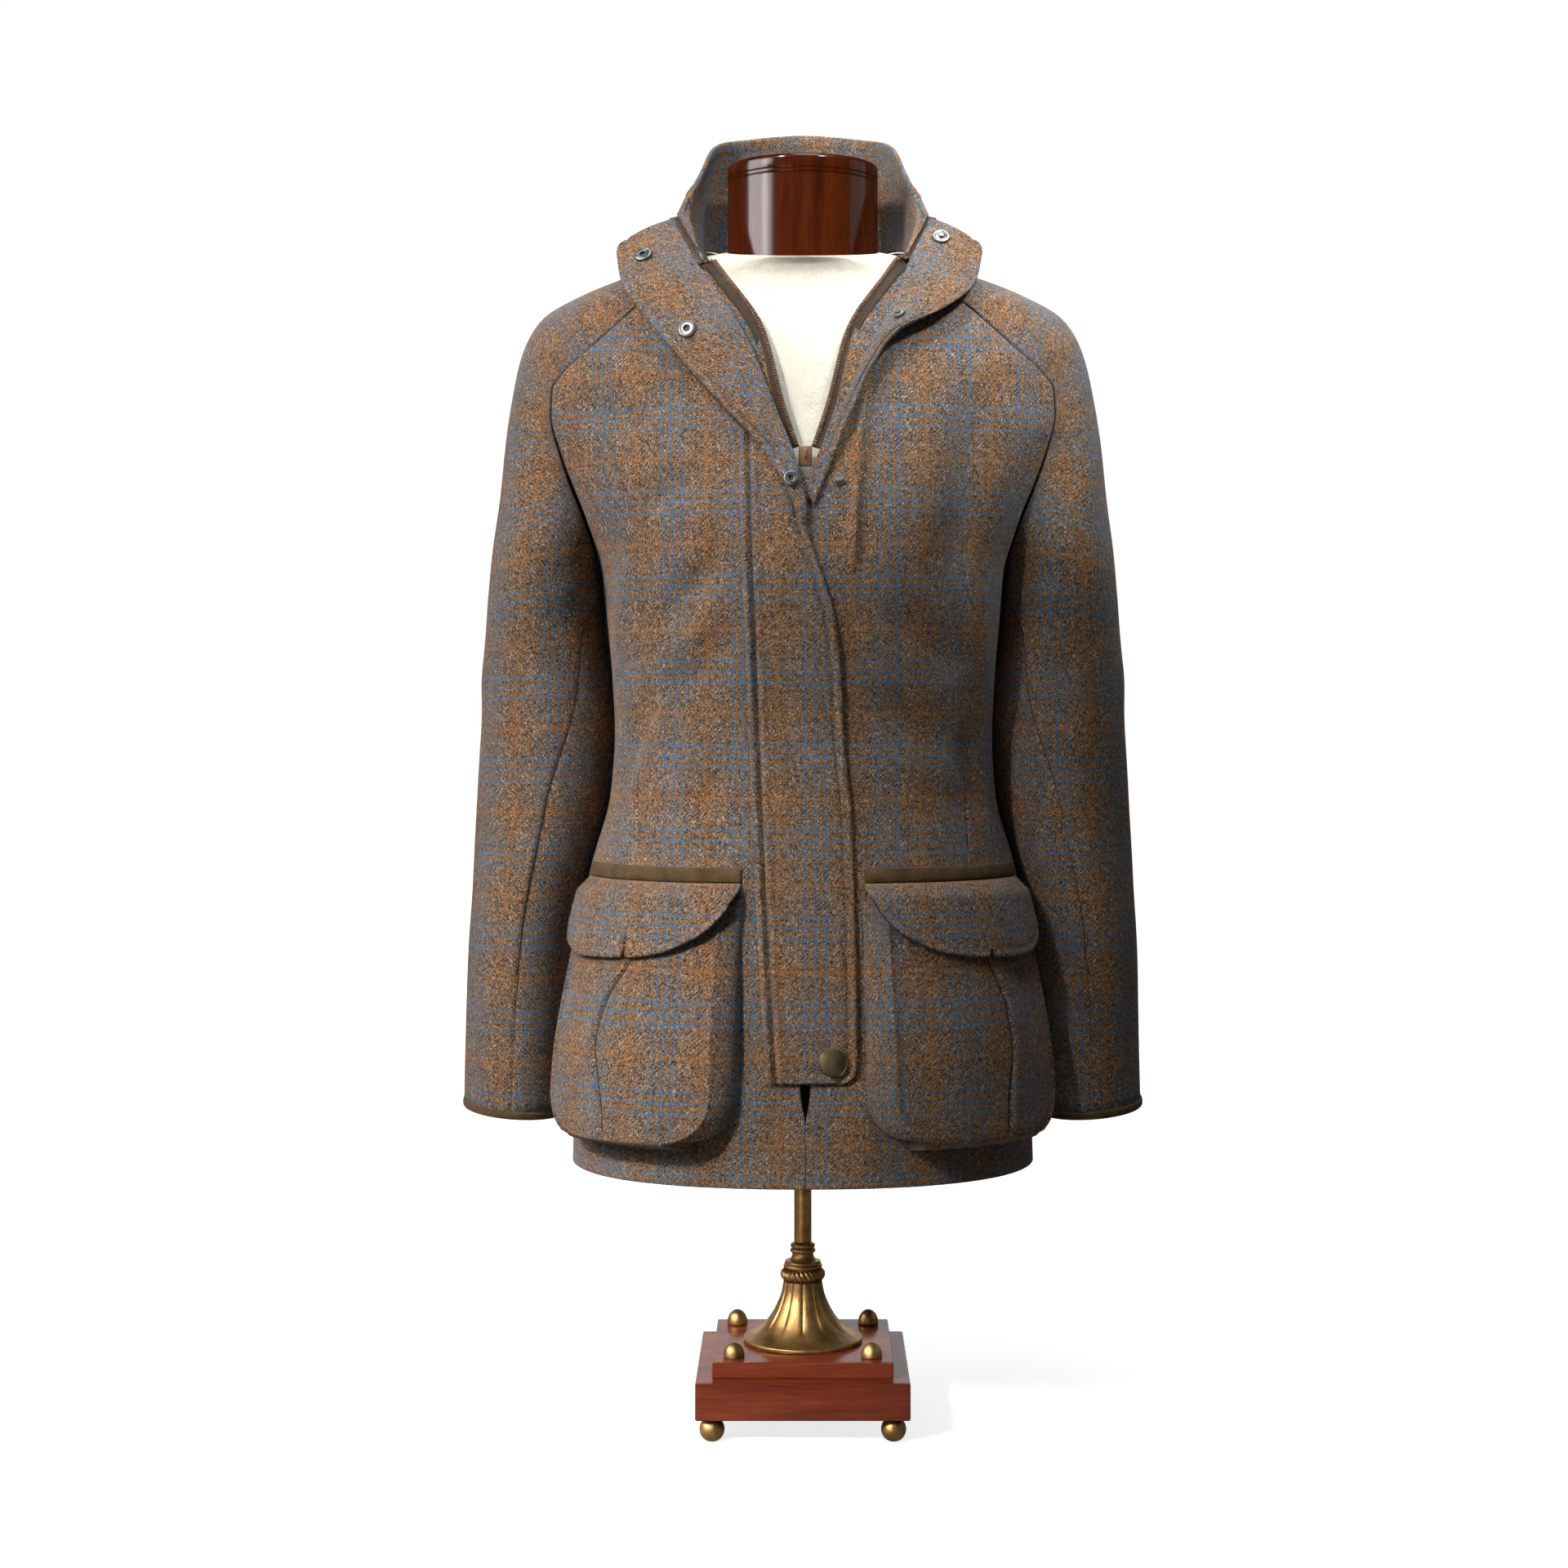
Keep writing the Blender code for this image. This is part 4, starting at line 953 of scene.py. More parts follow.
pocketDepth = sizeTable("z depth", (241, 28), (300, 26), (380, 16), (431.5, 8))
pocketBag = {
    "angles": (12.3, 72.8),
    "gusset": 5.0, "wallSteps": 7, "wallBow": 0.42,
    "floor": 249.0, "fall": 7.5, "corner": 34.0,
    "rim": 0.8, "belly": 3.0,
    "counts": (18, 15),
    "rows": np.concatenate([[431.5, 430.7, 429.5, 427], np.linspace(423, 262, 34), np.linspace(259, 249, 6)]),
    "edgeShape": ((1.5, 1.2, 1.5), (-0.9, 5.0, 1.8)),
    "pleatShape": ((-2.6, 0.0, 1.5), (1.6, 5.0, 5.0)),
    "pleatZ": (252, 396), "sideStitch": 4.6, "floorStitch": 5.5,
    "pleatFade": ((412, 20), (246, 14)),      # its top and foot, and how far it fades there
    "girthShare": 0.95, "checkShift": 60.0, "checkFold": 0.6,
    "ripple": 0.6, "seed": 9.1,
    "creases": {
        "right": ((-6, 330, 20, 290, -1.6, 10), (-58, 300, -40, 270, -1.4, 9), (30, 380, 52, 340, -1.2, 10)),
        "left": ((-40, 330, -24, 284, -1.6, 10), (24, 310, 44, 276, -1.4, 9), (-10, 380, 10, 350, -1.2, 10)),
    },
}
pleatLine = {
    "right": sizeTable(
        "z share",
        (245, 0.52), (271, 0.545), (294, 0.578), (322, 0.618), (354, 0.578), (384, 0.46), (431, 0.42)),
    "left": sizeTable(
        "z share", (245, 0.56), (275, 0.58), (323, 0.63), (348, 0.62), (385, 0.54), (431, 0.5)),
}


def pocketRows():
    # height, how far the depth has risen, and how far the ends have drawn in at the round corners
    rows = []
    for z in pocketBag["rows"]:
        inside = max(0.0, pocketBag["corner"] - (z - pocketBag["floor"]))
        pull = pocketBag["corner"] - math.sqrt(max(pocketBag["corner"] ** 2 - inside ** 2, 0))
        rows.append((z, 1.0, math.degrees(pull / float(bodySizes("halfWidth", z)))))
    for turn in np.linspace(0, math.pi / 2, 8)[1:]:
        rows.append((pocketBag["floor"] - pocketBag["fall"] * math.sin(turn), math.cos(turn), rows[-1][2]))
    return rows


def makePocketBag(side):
    (low, high), gusset = pocketBag["angles"], pocketBag["gusset"]
    (pleatTop, topFade), (pleatFoot, footFade) = pocketBag["pleatFade"]
    wall = np.linspace(0, 1, pocketBag["wallSteps"])
    rise = wall ** pocketBag["wallBow"]
    walls = len(wall) - 1
    face = slice(walls, -walls)
    points, uv, normals, fromSide = [], [], [], []
    rows = pocketRows()
    for z, full, pull in rows:
        start, end = low + pull, high - pull
        faceLow, faceHigh = start + gusset, end - gusset
        perDegree = float(bodySizes("halfWidth", z)) * math.pi / 180 * pocketBag["girthShare"]
        length = (faceHigh - faceLow) * perDegree
        pleatAngle = low + gusset + (high - low - 2 * gusset) * float(pleatLine[side]("share", z))
        pleatAt = np.clip((pleatAngle - faceLow) / (faceHigh - faceLow), 0.2, 0.8) * length
        places = spread(length, [pleatAt], pocketBag["counts"])
        onFace = faceLow + places / perDegree
        degrees = np.concatenate([start + wall[:-1] * gusset, onFace, end - wall[-2::-1] * gusset])
        reach = np.concatenate([rise[:-1], np.ones_like(onFace), rise[-2::-1]])
        depth = float(pocketDepth("depth", z))
        inPleat = np.clip((pleatTop - z) / topFade, 0, 1) * np.clip((z - pleatFoot) / footFade, 0, 1)
        extra = humps(np.minimum(places, length - places), pocketBag["edgeShape"])
        extra = extra + inPleat * humps(places - pleatAt, pocketBag["pleatShape"])
        extra = extra + np.sin(math.pi * places / length) * pocketBag["belly"] * full
        out = pocketBag["rim"] + depth * np.minimum(reach, full)
        out[face] += extra * full
        turn = np.radians(degrees)
        points.append(onBody(turn, z, out))
        normals.append(bodyNormal(turn, z))
        across = (degrees - low) * perDegree - pocketBag["checkShift"]
        across = across + (reach - 1) * depth * pocketBag["checkFold"]
        uv.append(flatRow(across, z - (1 - full) * depth))
        fromSide.append(places)
    points, uv, normals, fromSide = (np.array(grid) for grid in (points, uv, normals, fromSide))
    wave = creases(uv[..., 0], uv[..., 1], pocketBag["creases"][side])
    wave += ripple(uv[..., 0], uv[..., 1], pocketBag["ripple"], pocketBag["seed"])
    wavy = slice(4, 38), slice(10, -10)
    points[wavy] += (normals * wave[..., None])[wavy]
    points, normals = sided(side, points), sided(side, normals)
    sewn = slice(6, -9)
    for far in (fromSide, fromSide[:, -1:] - fromSide):
        keepEdge("pocketBags", points[sewn, face], normals[sewn, face], far[sewn], pocketBag["sideStitch"])
    pleatLow, pleatHigh = pocketBag["pleatZ"]
    inPleat = [k for k, (z, full, _) in enumerate(rows) if pleatLow < z < pleatHigh and full > 0.99]
    column = walls + markColumn(pocketBag["counts"])
    # painted shade: a dark line down the pleat
    keepSeamShade(points[inPleat, column], normals[inPleat, column], "pleat")
    sewn = slice(8, -6), slice(walls + 4, -walls - 4)
    aboveFloor = uv[..., 1] - pocketBag["floor"]
    keepEdge(
        "pocketBags", points[sewn], normals[sewn], aboveFloor[sewn], pocketBag["floorStitch"], byColumn=True)
    name = side.capitalize()
    piece = clothWall("pocketBag" + name, points, sidedUv(side, uv), thickness["panel"], normals)
    keepCloth(piece, "tweed", "pocket_bag_" + side)


flapEdge = sizeTable(
    "share lowZ",
    (0, 440),
    (0.035, 424),
    (0.09, 411),
    (0.15, 402),
    (0.3, 390),
    (0.45, 386),
    (0.68, 385),
    (0.9, 394),
    (1, 410),
)
pocketFlap = {
    "angles": (13.2, 74.5), "perTurn": 172.0,
    "top": 445.0, "turn": 12.0, "lift": 7.5, "seat": 0.5,
    "shares": np.concatenate([np.linspace(0, 0.7, 12), np.linspace(0.74, 1, 9)]),
    "counts": (20, 20),
    "slit": {"right": (0.46, 25.0, 2.0), "left": (0.51, 9.0, 2.2)},    # share, height, half width
    "stitch": 6.0, "slitReach": 26.0, "wave": (23.0, 1.3),
    "lowShape": ((-0.9, 6.0, 1.6),),
    "slitShape": ((1.4, 0.0, 6.0),),
}
pocketBand = {
    "low": 445.5, "high": 457.0, "columns": 70,
    "shape": ((0, -0.3), (0.12, 0.5), (0.4, 0.8), (0.7, 0.8), (0.9, 0.5), (1, -0.3)),
}


def makePocketFlap(side):
    low, high = (math.radians(a) for a in pocketFlap["angles"])
    top, seat = pocketFlap["top"], pocketFlap["seat"] + thickness["panel"]
    slitShare, slitHeight, slitHalf = pocketFlap["slit"][side]
    length = (high - low) * pocketFlap["perTurn"]
    places = spread(length, [slitShare * length], pocketFlap["counts"])
    angles = low + (high - low) * places / length
    lowZ = flapEdge("lowZ", places / length)
    fromSlit = np.abs(places - slitShare * length)
    notch = slitHeight * np.clip(1 - fromSlit / slitHalf, 0, 1)
    # it lies closer towards the side seam
    lift = pocketFlap["lift"] * (1 - 0.75 * np.clip(places / length * 3.2 - 2.2, 0, 1))
    waveLength, waveStart = pocketFlap["wave"]
    points, uv, normals = [], [], []
    for share in pocketFlap["shares"]:
        z = top + (lowZ + notch - top) * share
        fromLow = z - lowZ
        out = pocketDepth("depth", z) + lift + humps(fromLow, pocketFlap["lowShape"])
        nearLow = np.clip(1 - fromLow / pocketFlap["slitReach"], 0, 1)
        out = out + humps(fromSlit, pocketFlap["slitShape"]) * nearLow
        out = out + np.sin(places / waveLength + waveStart) * share
        points.append(onBody(angles, z, seat + out * np.minimum(1.0, (top - z) / pocketFlap["turn"])))
        normals.append(bodyNormal(angles, z))
        uv.append(flatRow(places - pocketBag["checkShift"], z))
    points, normals, uv = sided(side, np.array(points)), sided(side, np.array(normals)), np.array(uv)
    # painted shadow: a dark line tucked under the lower edge
    under = points[-1] - normals[-1] * (thickness["panel"] + 0.4) - np.array([0.0, 0.0, 0.5])
    keepSeamShade(under, normals[-1], "pleat")
    keepEdge("pocketFlaps", points, normals, uv[..., 1] - lowZ, pocketFlap["stitch"], byColumn=True)
    name = side.capitalize()
    piece = clothWall("pocketFlap" + name, points, sidedUv(side, uv), thickness["panel"], normals)
    keepCloth(piece, "tweed", "pocket_flap_" + side)


def makePocketBinding(side):
    angles = np.linspace(*np.radians(pocketFlap["angles"]), pocketBand["columns"])
    points, uv, normals = [], [], []
    for share, swell in pocketBand["shape"]:
        z = pocketBand["low"] + (pocketBand["high"] - pocketBand["low"]) * share
        points.append(onBody(angles, z, np.full_like(angles, pocketFlap["seat"] + thickness["trim"] + swell)))
        normals.append(bodyNormal(angles, z))
        uv.append(flatRow(angles * pocketFlap["perTurn"], z))
    points, normals = sided(side, np.array(points)), sided(side, np.array(normals))
    name = side.capitalize()
    piece = clothWall("pocketBinding" + name, points, np.array(uv), thickness["trim"], normals)
    keepCloth(piece, "binding", "pocket_binding_" + side)


for side in ("right", "left"):
    makePocketBag(side)
    makePocketFlap(side)
    makePocketBinding(side)
print("pockets made")


# zip

zipSizes = {
    "across": (-3.2, -1.0, 1.5, 3.0, 4.5, 6.0, 7.0),      # from under the front's edge to the tape's own
    "sunk": 0.2, "proud": 2.2, "proudFrom": (34, 52), "smoothing": 40,
    "frontZ": (782, 912, 50), "collarShares": (0.06, 1, 24),
    "pitch": 2.4, "tooth": (1.45, 3.4, 3.6), "toothIn": 5.4, "margin": 2.0,
    "closedWidth": 22.0, "closedColumns": 8, "closedZ": (302, 752, 60), "closedGap": 1.8, "perTurn": 120.0,
    "sliderZ": 776.0, "slider": (10.4, 6.0, 16.0), "sink": 2.0, "bevel": 1.6, "bridge": (3.2, 0.9),
}


def zipEdge(centre):
    # the open edge up the front and on up the collar's end, and the way in from it
    points, inward = [], []
    for z in np.linspace(*zipSizes["frontZ"]):
        angle = float(angleAt(centre + frontOpening("opening", z), z))
        points.append(bodyPoint(angle, z))
        inward.append(unit(bodyPoint(angle - 0.02, z) - bodyPoint(angle, z)))
    for row in collarSheet(centre, np.linspace(*zipSizes["collarShares"])):
        points.append(row[0])
        inward.append(unit(row[0] - row[1]))
    return np.array(points), np.array(inward)


def toothBlock():
    # corners and faces of one tooth, its top drawn in
    square = [(-1, -1), (1, -1), (1, 1), (-1, 1)]
    corners = [(x, y, -1) for x, y in square] + [(x, y, 0.4) for x, y in square]
    corners += [(0.6 * x, 0.8 * y, 1) for x, y in square]
    return np.array(corners), tubeFaces(3, 4)


def makeZip(side):
    edge, inward = zipEdge(closingX if side == "left" else -closingX)
    for _ in range(zipSizes["smoothing"]):     # eases the turn from the front on to the collar
        inward[1:-1] = unit(inward[:-2] + 2 * inward[1:-1] + inward[2:])
        edge[1:-1] = (edge[:-2] + 2 * edge[1:-1] + edge[2:]) / 4
    tangent = unit(np.gradient(edge, axis=0))
    inward = unit(inward - tangent * np.sum(inward * tangent, axis=1, keepdims=True))
    normal = unit(np.cross(tangent, inward))
    normal = normal if normal[:, 1].mean() < 0 else -normal
    # the collar part stands a little proud of the facing beside it
    proud = np.interp(np.arange(len(edge)), zipSizes["proudFrom"], (0, zipSizes["proud"]))
    edge = edge + normal * proud[:, None]
    run = runAlong(edge)
    points = np.array([edge + inward * a - normal * zipSizes["sunk"] for a in zipSizes["across"]])
    uv = np.array([flatRow(a, run) for a in zipSizes["across"]])
    toward = sided(side, np.broadcast_to(normal, points.shape))
    name = side.capitalize()
    piece = clothWall("zipTape" + name, sided(side, points), uv, thickness["trim"], toward)
    keepCloth(piece, "zipTape", "zip_tape_" + side)
    places = np.arange(zipSizes["margin"], run[-1] - zipSizes["margin"], zipSizes["pitch"])
    spots = atPlaces(places, run, edge + inward * zipSizes["toothIn"])
    axes = np.stack([atPlaces(places, run, way) for way in (tangent, inward, normal)], axis=1)
    corners, sides = toothBlock()
    points = spots[:, None] + (corners * np.array(zipSizes["tooth"]) / 2) @ axes
    faces = [[k * len(corners) + corner for corner in face] for k in range(len(places)) for face in sides]
    teeth = addMesh("zipTeeth" + name, sided(side, points.reshape(-1, 3)), faces)
    facesOut(teeth)
    keepPiece(teeth, "zipBrown")


def makeClosedZip():
    points, uv, normals = [], [], []
    half = zipSizes["closedWidth"] / 2
    for z in np.linspace(*zipSizes["closedZ"]):
        angles = angleAt(closingX + np.linspace(-half, half, zipSizes["closedColumns"]), z)
        points.append(onBody(angles, z, np.full_like(angles, -thickness["panel"] - zipSizes["closedGap"])))
        normals.append(bodyNormal(angles, z))
        uv.append(flatRow(angles * zipSizes["perTurn"], z))
    piece = clothWall("zipClosed", np.array(points), np.array(uv), thickness["trim"], np.array(normals))
    keepCloth(piece, "zipTape", "zip_closed")


def makeSlider():
    wide, deep, tall = (s * mm for s in zipSizes["slider"])
    x, z = closingX * mm, zipSizes["sliderZ"] * mm
    y = (float(bodyPoint(0.0, zipSizes["sliderZ"])[1]) + zipSizes["sink"] + depthShift) * mm
    ring, wire = (s * mm for s in zipSizes["bridge"])
    bpy.ops.object.select_all(action="DESELECT")
    bpy.ops.mesh.primitive_cube_add(size=1, location=(x, y, z), scale=(wide, deep, tall))
    body = bpy.context.object
    body.name = "zipSlider"
    bpy.ops.object.transform_apply(location=True, rotation=True, scale=True)
    bpy.ops.object.mode_set(mode="EDIT")
    bpy.ops.mesh.select_all(action="SELECT")
    bpy.ops.mesh.bevel(offset=zipSizes["bevel"] * mm, segments=3, affect="EDGES")
    bpy.ops.object.mode_set(mode="OBJECT")
    bpy.ops.mesh.primitive_torus_add(
        major_segments=28, minor_segments=10, major_radius=ring, minor_radius=wire,
        location=(x, y - deep / 2, z + 2 * mm), rotation=(0, math.pi / 2, 0))
    bridge = bpy.context.object
    bpy.ops.object.transform_apply(location=True, rotation=True, scale=True)
    joinInto(body, bridge)
    body.data.shade_smooth()
    keepPiece(body, "zipBrown", "zip_slider")


for side in ("right", "left"):
    makeZip(side)
makeClosedZip()
makeSlider()
print("zip made")


# turned pieces, and the snaps

def arc(centreR, centreZ, radius, start, end, steps):
    turns = np.radians(np.linspace(start, end, steps))
    return [(centreR + radius * math.cos(t), centreZ + radius * math.sin(t)) for t in turns]


def lathe(name, profile, steps, place=(0, 0, 0), axis=None):
    # spins a profile of radius and height pairs, then sets it in place, axis up or along a normal
    mesh = bpy.data.meshes.new(name)
    spots = [(r * mm, 0, z * mm) for r, z in profile]
    mesh.from_pydata(spots, [(k, k + 1) for k in range(len(spots) - 1)], [])
    piece = bpy.data.objects.new(name, mesh)
    bpy.context.scene.collection.objects.link(piece)
    selectOnly(piece)
    bpy.ops.object.mode_set(mode="EDIT")
    bpy.ops.mesh.select_all(action="SELECT")
    bpy.ops.mesh.spin(steps=steps, angle=2 * math.pi, center=(0, 0, 0), axis=(0, 0, 1))
    bpy.ops.mesh.select_all(action="SELECT")
    bpy.ops.mesh.remove_doubles(threshold=0.004 * mm)
    bpy.ops.mesh.normals_make_consistent(inside=False)
    bpy.ops.object.mode_set(mode="OBJECT")
    bpy.ops.object.shade_smooth_by_angle(angle=math.radians(35))
    if axis is not None:
        turn = Vector(axis).to_track_quat("Z", "Y").to_matrix().to_4x4()
        piece.data.transform(turn)
    x, y, z = place
    piece.data.transform(Matrix.Translation((x * mm, (y + depthShift) * mm, z * mm)))
    return piece


def ringSnap(radius, height, hole, floor):
    # a pressed ring with a rolled rim round a sunk middle
    roll = height * 0.5
    rim = radius - roll
    profile = [(0, floor), (hole, floor), (hole, height - 0.5)]
    profile += arc(hole + 0.5, height - 0.5, 0.5, 180, 90, 4)
    profile += [(rim - 1.1, height), (rim - 0.7, height - 0.5), (rim - 0.2, height - 0.3)]
    profile += arc(rim, height - roll, roll, 90, 0, 6)
    return profile + [(radius, 0), (0, 0)]


def studSnap(radius, height):
    profile = [(0, height)] + arc(radius * 0.3, height - 0.7, 0.7, 80, 0, 4) + [(radius * 0.38, height * 0.5)]
    profile += [(radius * 0.62, height * 0.42), (radius * 0.72, height * 0.55)]
    profile += arc(radius - height * 0.25, height * 0.3, height * 0.25, 90, 0, 5)
    return profile + [(radius, 0), (0, 0)]


def capDome(radius, height):
    dome = [(0, height)] + [(radius * 0.9 * s, height - 0.9 * s ** 2.4) for s in np.linspace(0.15, 1, 9)]
    dome += [(radius * 0.93, height - 1.25)] + arc(radius - 0.9, height - 1.9, 0.9, 60, -50, 7)
    return dome + [(radius - 0.5, 0), (0, 0)]


lapelSnaps = (
    # piece, node, side, share down the lapel, share across, profile
    ("snapSocketTop", "snap_socket_top", "right", 0.12, 0.62, ringSnap(7.0, 2.6, 2.7, 0.7)),
    ("snapSocketMiddle", "snap_socket_middle", "right", 0.51, 0.66, ringSnap(7.0, 2.6, 2.7, 0.7)),
    ("snapSocketLow", "snap_socket_low", "right", 0.95, 0.5, ringSnap(6.0, 2.6, 2.3, 0.7)),
    ("snapStudTop", "snap_stud_top", "left", 0.06, 0.3, studSnap(7.0, 3.4)),
    ("snapStudMiddle", "snap_stud_middle", "left", 0.43, 0.3, studSnap(4.6, 3.4)),
)
capSeat = stormPanel["gap"] + thickness["flap"] + 0.3
frontSnaps = (
    # piece, node, finish, x, z, height off the front, steps round, profile
    ("snapStudLow", "snap_stud_low", "gunmetal", 28.0, 757.0, 0.3, 36, studSnap(4.6, 3.4)),
    ("snapCap", "snap_cap", "capBrass", 23.0, 310.0, capSeat, 56, capDome(11.0, 3.6)),
)
snapSizes = {"seat": 0.4, "steps": 40, "hollowSides": 24, "hollowShare": 0.99, "hollowLift": 0.05}


def makeHoleShade(seats):
    # painted shade: dark discs in the middle of the ring snaps, for the shade down each socket's hole
    sides = snapSizes["hollowSides"]
    points, faces = [], []
    for seat, normal, radius in seats:
        over = unit(np.cross(normal, (0.0, 0.0, 1.0)))
        up = np.cross(over, normal)
        base = len(points)
        points += [seat + radius * (over * math.cos(t) + up * math.sin(t)) for t in circle(sides)]
        points.append(seat)
        faces += [[base + k, base + (k + 1) % sides, base + sides] for k in range(sides)]
    keepPiece(addMesh("snapHoleShade", np.array(points), faces), "paintedHoleShade")


def makeSnaps():
    holeShades = []
    step = 0.01
    for name, node, side, share, across, profile in lapelSnaps:
        down = lapelPoint(side, share + step, across) - lapelPoint(side, share - step, across)
        over = lapelPoint(side, share, across + step) - lapelPoint(side, share, across - step)
        normal = unit(np.cross(over, down))
        normal = normal if normal[1] < 0 else -normal
        seat = sided(side, lapelPoint(side, share, across) + normal * snapSizes["seat"])
        outward = sided(side, normal)
        keepPiece(lathe(name, profile, snapSizes["steps"], seat, outward), "gunmetal", node)
        if "Socket" in name:
            (_, floor), (hole, _) = profile[:2]
            middle = seat + outward * (floor + snapSizes["hollowLift"])
            holeShades.append((middle, outward, hole * snapSizes["hollowShare"]))
    makeHoleShade(holeShades)
    for name, node, finish, x, z, out, steps, profile in frontSnaps:
        angle = float(angleAt(x, z))
        keepPiece(lathe(name, profile, steps, onBody(angle, z, out), bodyNormal(angle, z)), finish, node)


makeSnaps()
print("snaps made")


# dress form

bustSizes = sizeTable(
    "z halfWidth front back tilt",
    (300, 138, 98, 98, 0),
    (303, 148, 106, 105, 0),
    (350, 158, 114, 112, 0),
    (440, 150, 108, 102, 0),
    (558, 128, 98, 86, 0),
    (640, 138, 116, 90, 0),
    (700, 148, 123, 94, 0),
    (760, 158, 114, 98, 0),
    (812, 170, 100, 98, 0),
    (848, 184, 91, 93, 0),
    (872, 193, 82, 86, 0),
    (890, 197, 72, 76, 0),
    (902, 192, 64, 68, 0),
    (913.3, 178, 58, 64, 0.02),
    (923.3, 153, 55, 62, 0.05),
    (933.3, 130, 54, 62, 0.1),
    (943.2, 104, 56, 63, 0.15),
    (949.8, 82, 59, 64, 0.19),
    (953, 65, 62, 67, 0.2),
)
formSizes = {
    "sides": 120, "bustTop": 953.0, "neckRadius": 61.6, "neckY": 2.0, "neckTop": 1024.0, "neckTilt": 0.2,
    "neckGrooves": (11.0, 14.4), "grooveDepth": 0.9, "neckEdge": 3.5,
    "bustRows": np.concatenate([
        [300, 300.8, 302, 304, 308], np.arange(316, 890, 9.0), np.linspace(892, 953, 30),
    ]),
}


def makeBust():
    turns = circle(formSizes["sides"])
    points, uv = [], []
    for z in formSizes["bustRows"]:
        x, y = oval(bustSizes, turns, z)
        points.append(np.stack([x, y, z + bustSizes("tilt", z) * y], axis=-1))
        uv.append(flatRow(turns * 130, z))
    faces = tubeFaces(len(points), len(turns))
    piece = addMesh("formBust", np.array(points).reshape(-1, 3), faces, np.array(uv).reshape(-1, 2))
    facesOut(piece)
    keepPiece(piece, "linen", "form_bust")


def makeNeck():
    radius, top, edge = formSizes["neckRadius"], formSizes["neckTop"], formSizes["neckEdge"]
    foot = formSizes["bustTop"] + 0.3
    profile = [(0, top)] + [(r, top) for r in (20, 40, 54)] + arc(radius - edge, top - edge, edge, 90, 0, 7)
    for groove in formSizes["neckGrooves"]:
        start = top - groove
        profile += [(radius, start + 1.0)]
        for t in np.linspace(0.3, 2.8, 6):
            profile += [(radius - formSizes["grooveDepth"] * math.sin(t), start - t / math.pi)]
        profile += [(radius, start - 1.1)]
    profile += [(radius, z) for z in np.linspace(top - 17, foot, 12)] + [(radius * 0.5, foot), (0, foot)]
    piece = lathe("formNeck", profile, formSizes["sides"], (0, formSizes["neckY"], 0))
    for spot in piece.data.vertices:      # the foot leans with the bust's sloping top
        if spot.co.z < (foot + 0.1) * mm:
            spot.co.z += formSizes["neckTilt"] * (spot.co.y - depthShift * mm)
    keepPiece(piece, "neckWood", "form_neck")


makeBust()
makeNeck()
print("form made")


# stand

standSizes = {
    "ball": 10.0, "ballPlace": 72.0, "ballFlat": 0.9,
    "knob": 8.5, "knobHeight": 12.0, "knobPlace": 55.0, "knobZ": 61.8, "knobFoot": 0.6,
    "pole": 7.15, "poleZ": (142.3, 299.7),
    "petals": 12, "petalSteps": 18, "petalEnd": 67.5, "petalRise": 6.0, "petalFade": 1.6,
    "groove": 0.052, "rimGroove": 0.012, "rimZ": (65.0, 2.0), "footEase": (61.9, 0.4),
    "ropeRadius": 13.5, "ropeZ": 116.0, "ropeThin": 3.7, "ropeSwell": 1.3, "ropeSteps": (240, 20),
    "ropeTwist": (1.5, 13.5),      # half the strands, and half the ridges met round the ring
    "footRows": np.concatenate([
        [61.8, 62.2, 63.0, 63.9, 64.5, 65.0, 65.4, 66], np.linspace(66.8, 110.7, 44),
    ]),
}
footProfile = sizeTable(
    "z radius",
    (61.8, 48.5),
    (64.5, 48.5),
    (66, 46),
    (70, 38),
    (78, 29.5),
    (90, 22),
    (102, 17.5),
    (110.7, 16),
)


def makeFoot():
    petals = standSizes["petals"]
    turns = circle(petals * standSizes["petalSteps"])
    (rimZ, rimFade), (easeZ, ease) = standSizes["rimZ"], standSizes["footEase"]
    # 0 on a groove, 1 in a petal's middle
    toLine = np.abs((turns * petals / (2 * math.pi) + 0.5) % 1 - 0.5) * 2
    rounded = np.sqrt(np.clip(1 - (1 - toLine) ** 2, 0, 1))
    # each petal's round end above the rim
    scallop = standSizes["petalEnd"] + standSizes["petalRise"] * (1 - toLine) ** 3
    points = []
    for z in standSizes["footRows"]:
        inPetal = np.clip((z - scallop) / standSizes["petalFade"], 0, 1)
        groove = standSizes["groove"] * inPetal * (1 - rounded)
        groove = groove + standSizes["rimGroove"] * (1 - inPetal) * np.clip((z - rimZ) / rimFade, 0, 1)
        eased = ease if z <= easeZ else 0.0
        radius = (float(footProfile("radius", z)) - eased) * (1 - groove)
        level = np.full_like(turns, z)
        points.append(np.stack([radius * np.cos(turns), radius * np.sin(turns), level], axis=-1))
    piece = addMesh("standFoot", np.array(points).reshape(-1, 3), tubeFaces(len(points), len(turns)))
    facesOut(piece)
    bpy.ops.object.shade_smooth_by_angle(angle=math.radians(50))
    keepPiece(piece, "brass", "stand_foot")


